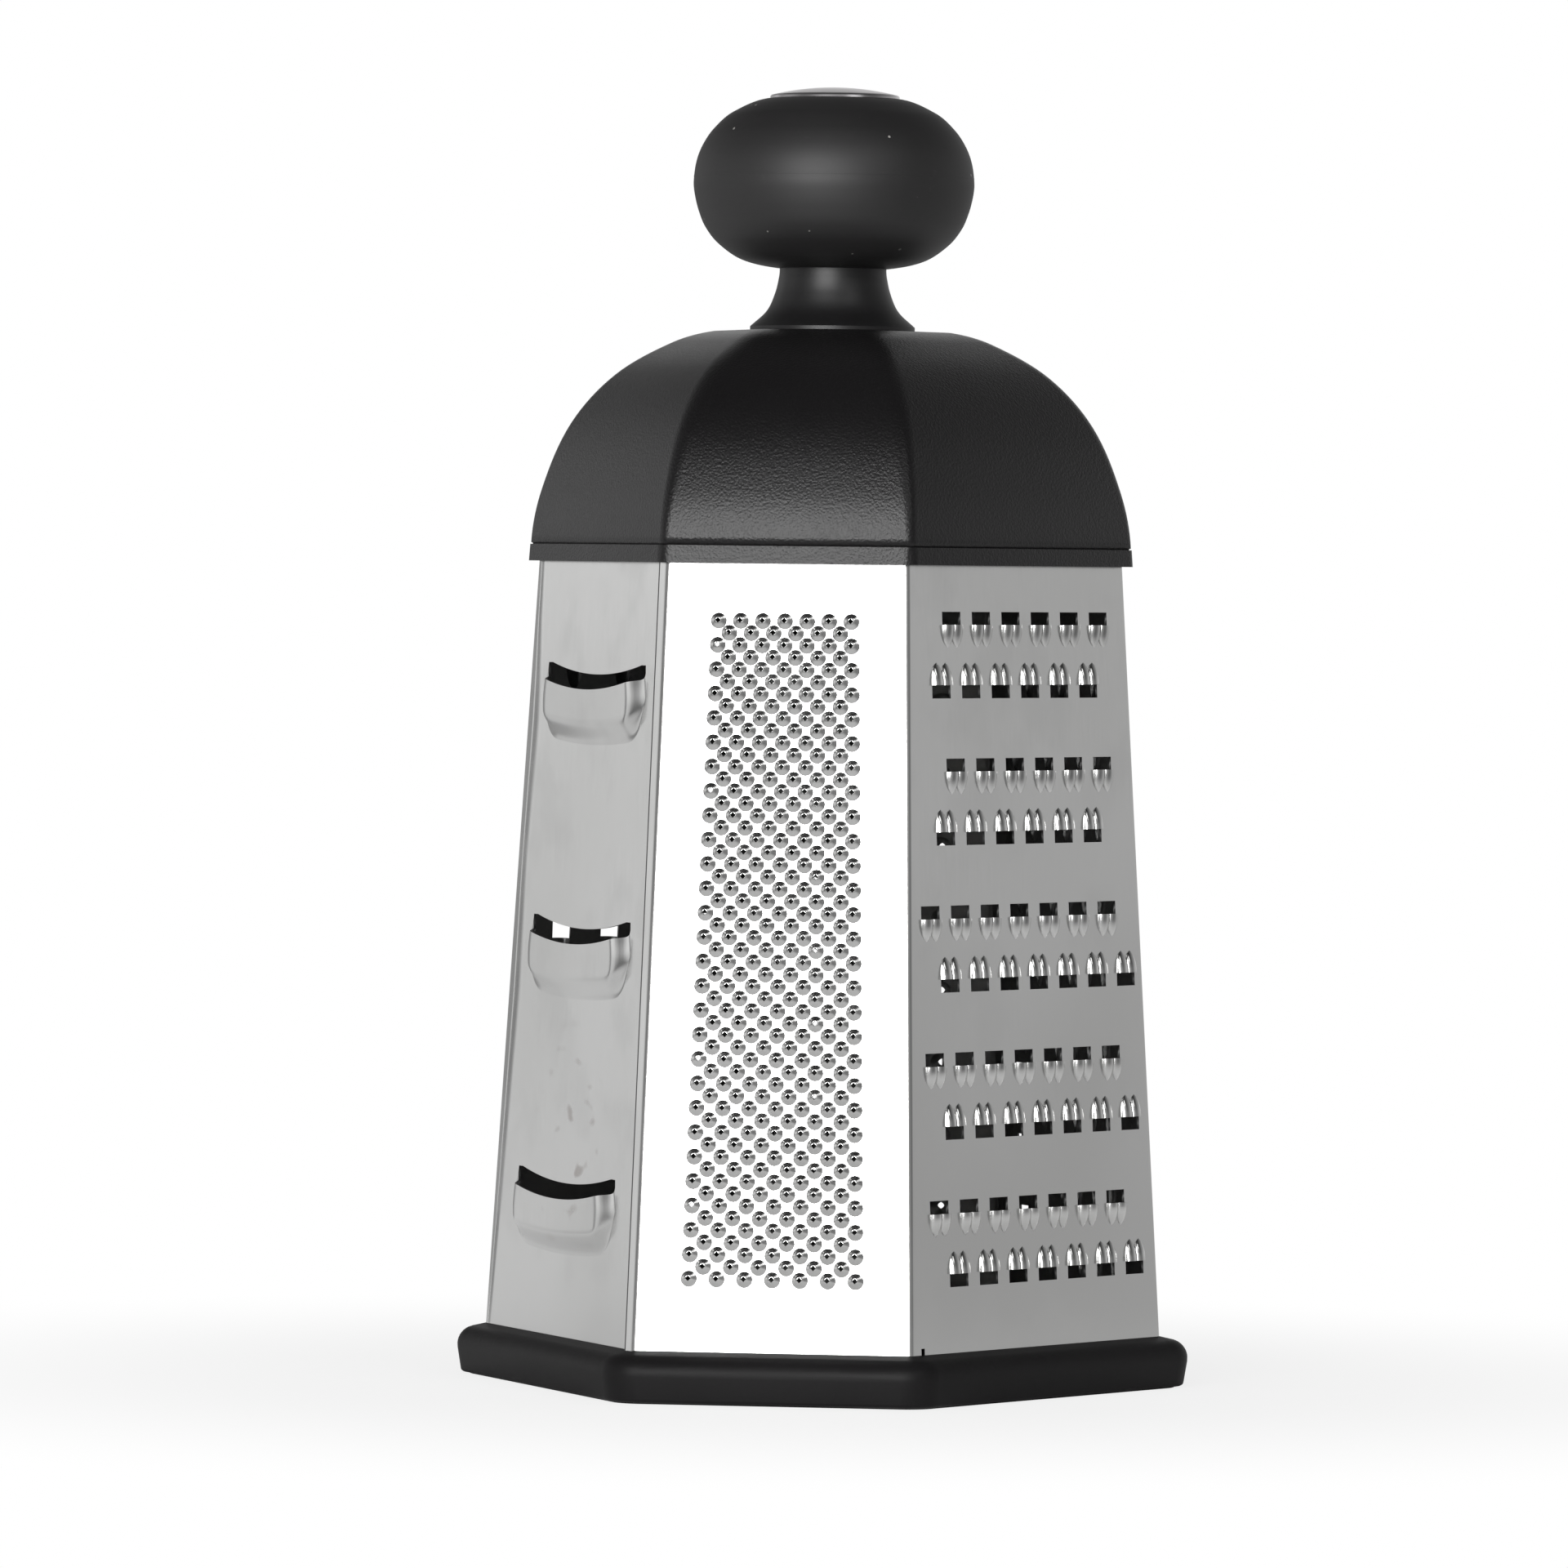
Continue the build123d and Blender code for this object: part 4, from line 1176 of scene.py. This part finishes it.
        # The lap is two strips; the outer one, at the lap's edge, gets full painted shade as a painted shadow
        # line.
        reaches = (self.lap_width, self.lap_width - self.lap_burr, 0.0)
        flap = [
            [line[0] + (line[0] - line[1]).normalized() * reach for reach in reaches]
            for line in bends[0]
        ]
        self.add_bend(bm, *flap)
        bm.faces.ensure_lookup_table()
        for face, burr in zip(bm.faces[-2:], (1, 0)):
            face[bm.faces.layers.int["flat"]] = 1
            face[bm.faces.layers.int["burr"]] = burr
        for i, panel in enumerate(panels):
            if i + 1 < len(bends):
                right = [bends[i + 1][0][0], bends[i + 1][-1][0]]
            else:
                right = [self.free_edge(panel.side, next_side, z) for z in (self.foot, self.head)]
            left = [line[-1] for line in bends[i]]
            notch = self.relief_outline(panel, left[0]) if i == 1 else []
            mesh, holes = panel.rows.lay_out(panel.shape.pressing(name), f"{name}_{panel.side.name.lower()}")
            self.add_plate(bm, panel.side, [left[0], *notch, *right, *left[:0:-1]], holes)
            mesh.transform(self.matrix(panel.side))
            bm.from_mesh(mesh)
        bmesh.ops.remove_doubles(bm, verts=bm.verts, dist=WELD_DISTANCE)
        bmesh.ops.recalc_face_normals(bm, faces=bm.faces)
        largest = max(bm.faces, key=lambda face: face.calc_area())
        if largest.normal.dot(largest.calc_center_median().normalized()) < 0.0:
            bmesh.ops.reverse_faces(bm, faces=bm.faces)
        piece = piece_from(mesh_from(bm, name, self.sharp_angle), name)
        self.thicken(piece)
        return piece

    def thicken(self, piece: Object) -> None:
        """Gives a sheet its thickness inwards, with painted shade on its inner side and on the strip at the
        lap's edge, and with darkened cut edges.
        """
        wall = piece.modifiers.new("thickness", "SOLIDIFY")
        wall.thickness = self.thickness * MM
        wall.offset = -1.0
        wall.use_even_offset = False
        outer = len(piece.data.polygons)
        bake_modifiers(piece)
        burr = [float(item.value) for item in piece.data.attributes["burr"].data[:outer]]
        cut = len(piece.data.polygons) - 2 * outer
        darkening = piece.data.attributes.new(PAINTED_SHADE_SHARE, "FLOAT", "FACE")
        # Painted shade share for each face: the lap's edge strip, then the inner side, then the cut edges.
        darkening.data.foreach_set("value", [*burr, *[self.inner_dullness] * outer, *[1.0] * cut])

    def build(self) -> None:
        """Builds and dresses both sheets."""
        front = [Panel(Side.FRONT, FINE_ROWS, Cone()), Panel(Side.FRONT_RIGHT, SHRED_ROWS, FANGS),
                 Panel(Side.BACK_RIGHT, MEDIUM_ROWS, MEDIUM_HOOD)]
        rear = [Panel(Side.BACK, RASP_ROWS, RASP), Panel(Side.BACK_LEFT, COARSE_ROWS, COARSE_HOOD),
                Panel(Side.FRONT_LEFT, SLOT_ROWS, Pocket())]
        attach(self.sheet("front_sheet", front, Side.FRONT_LEFT), Slot.STEEL, "front_blade_sheet")
        attach(self.sheet("rear_sheet", rear, Side.BACK_RIGHT), Slot.STEEL, "rear_blade_sheet")


def inside(point: Vector, loop: Sequence[Vector]) -> bool:
    """True where a point lies inside a closed loop."""
    crossings = 0
    for a, b in zip(loop, [*loop[1:], loop[0]]):
        if (a.y > point.y) != (b.y > point.y):
            crossings += point.x < a.x + (b.x - a.x) * (point.y - a.y) / (b.y - a.y)
    return crossings % 2 == 1


# Plastic and small parts


@dataclass
class Dome:
    """The rim frame and the six-sided dome above it."""

    foot_height: float = 154.8
    top_height: float = 194.7
    front: float = 58.35
    side: float = 48.92
    corner_radius: float = 2.2
    crown_softness: float = 4.0
    wall: float = 2.2
    corner_steps: int = 6
    profile_steps: int = 8
    foot_slope: Point = (-0.03, 1.0)
    crown_slope: Point = (-1.0, 0.22)
    crown_shares: tuple[float, ...] = (0.39, 0.30, 0.15)
    seam_depth: float = 0.006
    seam_rise: float = 0.008
    profile: tuple[Point, ...] = ((1.0, 0.008), (0.968, 0.26), (0.876, 0.566), (0.732, 0.794), (0.543, 0.947),
                                  (0.409, 1.0))

    def ring(self, share: float, radius: float) -> list[Point]:
        """Six-sided ring with rounded corners at a share of the full size."""
        front, side = self.front * share, self.side * share
        half_width = side / math.cos(CORNER_TURN / 2.0)
        half_front = half_width - front / math.tan(CORNER_TURN)
        corners = [(half_width, 0.0), (half_front, front), (-half_front, front)]
        corners += [(-x, -y) for x, y in corners]
        setback = radius * math.tan(CORNER_TURN / 2.0)
        points: list[Point] = []
        for i, corner in enumerate(corners):
            after = corners[(i + 1) % len(corners)]
            points += rounded_corner(corners[i - 1], corner, after, setback, self.corner_steps)
        return points

    def build(self) -> None:
        """Builds and dresses the rim and the dome."""
        height = self.top_height - self.foot_height
        line = [(1.0 - self.seam_depth, 0.0), (1.0 - self.seam_depth, self.seam_rise / 2.0)]
        line += smooth_curve(self.profile, self.profile_steps, self.foot_slope, self.crown_slope)
        line += [(share, 1.0) for share in self.crown_shares]
        bm = bmesh.new()
        rings = []
        for share, rise in line:
            z = (self.foot_height + height * rise) * MM
            ring = self.ring(share, self.corner_radius + self.crown_softness * rise)
            rings.append([bm.verts.new((x * MM, y * MM, z)) for x, y in ring])
        skin(bm, rings)
        bm.faces.new(rings[-1])
        piece = piece_from(mesh_from(bm, "dome", 50.0), "dome")
        shell = piece.modifiers.new("wall", "SOLIDIFY")
        shell.thickness = self.wall * MM
        shell.offset = -1.0
        bake_modifiers(piece)
        attach(piece, Slot.GRAINED, "dome_cover")
        dress_copy("rim_frame", "rim", Slot.GRAINED, 0.25)


@dataclass
class Base:
    """The base ring and the soft foot in its underside."""

    def build(self) -> None:
        """Builds and dresses the ring and the foot."""
        dress_copy("base_ring", "base", Slot.BASE)
        dress_copy("non_slip_foot", "foot", Slot.RUBBER, 0.25)


@dataclass
class Knob:
    """The neck, the soft grip with its metal disc, and what they hold inside."""

    dome_top: float = 194.7
    collar_radius: float = 15.3
    collar_thickness: float = 0.9
    neck_radius: float = 9.9
    neck_top: float = 206.4
    grip_radius: float = 26.05
    grip_middle: float = 222.4
    grip_top: float = 237.9
    disc_radius: float = 12.0
    disc_edge: float = 238.5
    disc_top: float = 240.0
    disc_base: float = 235.3
    disc_gap: float = 0.15
    grip_bore: float = 7.65
    bolt_bore: float = 2.7
    spigot_radius: float = 7.5
    spigot_height: float = 6.0
    edge_rounding: float = 0.25
    mould_line: float = 223.25
    mould_line_width: float = 0.12
    mould_line_rise: float = 0.016
    lower: tuple[Point, ...] = ((0.647, 0.906), (0.82, 0.719), (0.914, 0.527), (0.963, 0.337), (0.992, 0.146))
    upper: tuple[Point, ...] = ((0.981, 0.242), (0.937, 0.439), (0.86, 0.632), (0.725, 0.832))
    flare: tuple[Point, ...] = ((1.0, 0.0), (0.43, 0.27), (0.155, 0.57), (0.02, 0.86), (0.0, 1.0))

    def grip_line(self) -> list[Point]:
        """Outer line of the grip, from its seat on the neck to the disc."""
        low, high = self.grip_middle - self.neck_top, self.grip_top - self.grip_middle
        points = [(self.neck_radius, self.neck_top)]
        points += [(self.grip_radius * out, self.grip_middle - low * down) for out, down in self.lower]
        points.append((self.grip_radius, self.grip_middle))
        points += [(self.grip_radius * out, self.grip_middle + high * rise) for out, rise in self.upper]
        points.append((self.disc_radius + self.disc_gap, self.grip_top))
        return smooth_curve(points, 10, (1.0, 0.12), (-1.0, 0.1))

    def scored(self, line: Sequence[Point]) -> list[Point]:
        """Adds the fine line that the mould leaves round the grip."""
        scored: list[Point] = []
        for before, after in zip(line, [*line[1:], line[-1]]):
            scored.append(before)
            if before[1] < self.mould_line <= after[1]:
                x, z, width = before[0], self.mould_line, self.mould_line_width
                scored += [(x, z - width), (x + self.mould_line_rise, z), (x, z + width)]
        return scored

    def build_neck(self) -> None:
        """Builds and dresses the neck."""
        top = self.dome_top + self.collar_thickness
        wide, tall = self.collar_radius - self.neck_radius, self.neck_top - top
        flare = [(self.neck_radius + wide * out, top + tall * rise) for out, rise in self.flare]
        line = smooth_curve(flare, 10, (-1.0, 1.0), (0.0, 1.0))
        foot = [(self.bolt_bore, self.dome_top), (self.collar_radius - self.edge_rounding, self.dome_top),
                (self.collar_radius, self.dome_top + self.edge_rounding)]
        spigot_top = self.neck_top + self.spigot_height
        spigot = [(self.spigot_radius, self.neck_top), (self.spigot_radius, spigot_top),
                  (self.bolt_bore, spigot_top)]
        attach(turned([*foot, *line, *spigot, foot[0]], "neck"), Slot.SMOOTH, "knob_neck")

    def build_grip(self) -> None:
        """Builds and dresses the soft grip."""
        line = self.scored(self.grip_line())
        inner = [(self.disc_radius + self.disc_gap, self.disc_base), (self.grip_bore, self.disc_base),
                 (self.grip_bore, self.neck_top)]
        attach(turned([*line, *inner, line[0]], "grip", 160), Slot.GRIP, "knob_grip")

    def build_disc(self) -> None:
        """Builds and dresses the metal disc."""
        rise = self.disc_top - self.disc_edge
        crown = [(self.disc_radius * i / 12, self.disc_top - rise * (i / 12) ** 2) for i in range(12)]
        edge = [(self.disc_radius - self.edge_rounding, self.disc_edge + 0.05),
                (self.disc_radius, self.disc_edge - 0.2)]
        profile = [*crown, *edge, (self.disc_radius, self.disc_base), (0.0, self.disc_base)]
        attach(turned(profile, "disc", 128, 50.0), Slot.DISC, "knob_disc")

    def build(self) -> None:
        """Builds and dresses the knob."""
        self.build_neck()
        self.build_grip()
        self.build_disc()
        dress_copy("knob_core", "core", Slot.BASE)


@dataclass
class Fasteners:
    """The bolt, its washer and insert, and the cover screws."""

    def build(self) -> None:
        """Rounds and dresses the small metal parts."""
        dress_copy("through_bolt", "bolt", Slot.ZINC, 0.15)
        dress_copy("bolt_washer", "washer", Slot.ZINC, 0.12)
        dress_copy("cover_screws", "screws", Slot.ZINC, 0.1)
        dress_copy("threaded_insert", "insert", Slot.BRASS, 0.1)


# Studio


@dataclass
class Softbox:
    """One rectangular lamp that looks at the middle of the grater."""

    name: str
    place: Place3
    width: float
    height: float
    power: float
    target: Place3 = (0.0, 0.0, 120.0)

    def build(self) -> None:
        """Adds the lamp."""
        lamp = bpy.data.lights.new(self.name, "AREA")
        lamp.shape = "RECTANGLE"
        lamp.size, lamp.size_y = self.width * MM, self.height * MM
        lamp.energy = self.power
        holder = bpy.data.objects.new(self.name, lamp)
        holder.location = Vector(self.place) * MM
        aim = Vector(self.target) - Vector(self.place)
        holder.rotation_euler = aim.to_track_quat("-Z", "Y").to_euler()
        bpy.context.scene.collection.objects.link(holder)


@dataclass
class Studio:
    """Pale floor, white surroundings, soft lamps and the camera of the photograph."""

    distance: float = 2100.0
    camera_height: float = 153.3
    azimuth: float = math.radians(7.67)
    pitch: float = 0.02028
    roll: float = 0.01114
    pan: float = -0.00383
    focal_pixels: float = 13848.0
    floor_reach: float = 3000.0
    left_room: tuple[Point, ...] = (
        (-1.0, 0.42), (-0.57, 0.20), (-0.35, 0.20), (-0.2, 0.62), (-0.1, 0.78), (0.1, 0.86), (0.33, 0.90),
        (0.42, 0.25), (0.54, 0.22), (0.62, 0.90), (0.745, 1.0), (0.785, 0.38), (0.97, 0.36), (0.994, 1.0),
    )
    right_room: tuple[Point, ...] = (
        (-1.0, 0.42), (-0.57, 0.18), (-0.1, 0.24), (0.15, 0.45), (0.26, 0.54), (0.6, 0.54), (0.95, 0.70),
        (0.995, 1.0),
    )
    upward: tuple[Point, ...] = (
        (0.0, 0.72), (0.065, 1.0), (0.20, 0.95), (0.32, 0.60), (0.45, 0.42), (0.6, 0.20), (0.9, 0.06),
    )
    floor_colour: tuple[float, ...] = (0.86, 0.86, 0.86, 1.0)
    floor_roughness: float = 0.8
    floor_share: float = 0.72
    near_floor: float = 0.60
    foot_edge: Point = (0.066, 0.074)
    foot_shade: Point = (0.074, 0.17)
    shadow_level: float = 0.82
    shadow_reach: Point = (0.06, 0.26)
    near_reach: Point = (0.12, 0.5)
    lamps: tuple[Softbox, ...] = (
        Softbox("front_box", (-360.0, -2600.0, 760.0), 1800.0, 1330.0, 60.0),
        Softbox("corner_box", (1150.0, -1150.0, 1250.0), 640.0, 640.0, 2.4),
    )

    def build_camera(self) -> None:
        """Adds the camera."""
        camera = bpy.data.cameras.new("camera")
        camera.sensor_width = SENSOR_WIDTH
        camera.lens = self.focal_pixels / IMAGE_PIXELS * SENSOR_WIDTH
        camera.clip_start, camera.clip_end = 0.05, 50.0
        turn = Matrix.Rotation(self.azimuth, 3, "Z")
        level = Vector((math.sin(self.pan), math.cos(self.pan), 0.0))
        right = Vector((math.cos(self.pan), -math.sin(self.pan), 0.0))
        up = Vector((0.0, 0.0, 1.0))
        ahead = level * math.cos(self.pitch) - up * math.sin(self.pitch)
        above = up * math.cos(self.pitch) + level * math.sin(self.pitch)
        rolled_right = right * math.cos(self.roll) + above * math.sin(self.roll)
        rolled_up = above * math.cos(self.roll) - right * math.sin(self.roll)
        place = turn @ Vector((0.0, -self.distance, self.camera_height)) * MM
        holder = bpy.data.objects.new("camera", camera)
        holder.matrix_world = turned_to(turn @ rolled_right, turn @ rolled_up, turn @ -ahead, place)
        bpy.context.scene.collection.objects.link(holder)
        bpy.context.scene.camera = holder

    def build_floor(self) -> None:
        """Adds the pale floor, which turns into the white surroundings away from the grater."""
        bm = bmesh.new()
        bmesh.ops.create_grid(bm, x_segments=1, y_segments=1, size=self.floor_reach * MM)
        floor = piece_from(plain_mesh(bm, "floor"), "floor")
        s = Surface("pale_floor")
        x, y, _ = s.axes()
        reach = (x * x + y * y).root()
        paths = s.add("ShaderNodeLightPath")
        camera = Signal(s, paths.outputs["Is Camera Ray"])
        glossy = Signal(s, paths.outputs["Is Glossy Ray"])
        mirrored = glossy.larger(Signal(s, paths.outputs["Is Transmission Ray"]))
        near = reach.ramp(*self.foot_edge) * 0.6 + reach.ramp(*self.foot_shade) * 0.4
        open_floor = reach.ramp(*self.shadow_reach).between(self.shadow_level, 1.0)
        clear = camera.between(near, open_floor)
        share = camera.larger(mirrored) * clear
        far = self.room(s, x / reach, y / reach) * self.floor_share
        level = camera.between(reach.ramp(*self.near_reach).between(self.near_floor, far), 1.0)
        matt = s.add("ShaderNodeBsdfPrincipled", None,
                     {"Base Color": self.floor_colour, "Roughness": self.floor_roughness})
        glow = s.add("ShaderNodeEmission", None, {"Color": (1.0, 1.0, 1.0, 1.0), "Strength": level})
        mixed = s.add("ShaderNodeMixShader", None, {0: share, 1: matt.outputs[0], 2: glow.outputs[0]})
        s.add("ShaderNodeOutputMaterial", None, {"Surface": mixed.outputs[0]})
        floor.data.materials.append(s.material)

    def room(self, nodes: Nodes, x: Signal, y: Signal) -> Signal:
        """Brightness of the surroundings in a level direction, white where the camera looks.

        Args:
            nodes: the tree to add to.
            x: the direction's share along X.
            y: the direction's share along Y.

        Returns:
            The brightness.
        """
        turn = math.pi / 2.0 + self.azimuth
        ahead = x * math.cos(turn) + y * math.sin(turn)
        right = x * math.sin(turn) - y * math.cos(turn)
        return (right > 0.0).between(nodes.curve(ahead, self.left_room), nodes.curve(ahead, self.right_room))

    def build_world(self) -> None:
        """Surroundings: white where the camera looks, also in reflections, darker at the sides and above."""
        world = bpy.data.worlds.new("studio")
        world.use_nodes = True
        bpy.context.scene.world = world
        n = Nodes(world.node_tree)
        world.node_tree.nodes.clear()
        paths = n.add("ShaderNodeLightPath")
        camera = Signal(n, paths.outputs["Is Camera Ray"])
        way = n.out("ShaderNodeTexCoord", None, None, "Generated")
        split = n.add("ShaderNodeSeparateXYZ", None, {0: way})
        x, y, z = (Signal(n, split.outputs[i]) for i in range(3))
        level = (x * x + y * y).larger(1e-6).root()
        room = self.room(n, x / level, y / level) * n.curve(z, self.upward)
        strength = camera.between(room, 1.0)
        back = n.add("ShaderNodeBackground", None, {"Color": (1.0, 1.0, 1.0, 1.0), "Strength": strength})
        n.add("ShaderNodeOutputWorld", None, {"Surface": back.outputs[0]})

    def build(self) -> None:
        """Builds the studio."""
        self.build_camera()
        self.build_floor()
        self.build_world()
        for lamp in self.lamps:
            lamp.build()
        bpy.context.scene.view_settings.view_transform = "Standard"


def main() -> None:
    """Builds the grater and its studio."""
    logging.basicConfig(level=logging.INFO, format="%(message)s")
    for part in (SteelBody(), Base(), Dome(), Knob(), Fasteners(), Studio()):
        log.info("building %s", type(part).__name__)
        part.build()


if __name__ == "__main__":
    main()
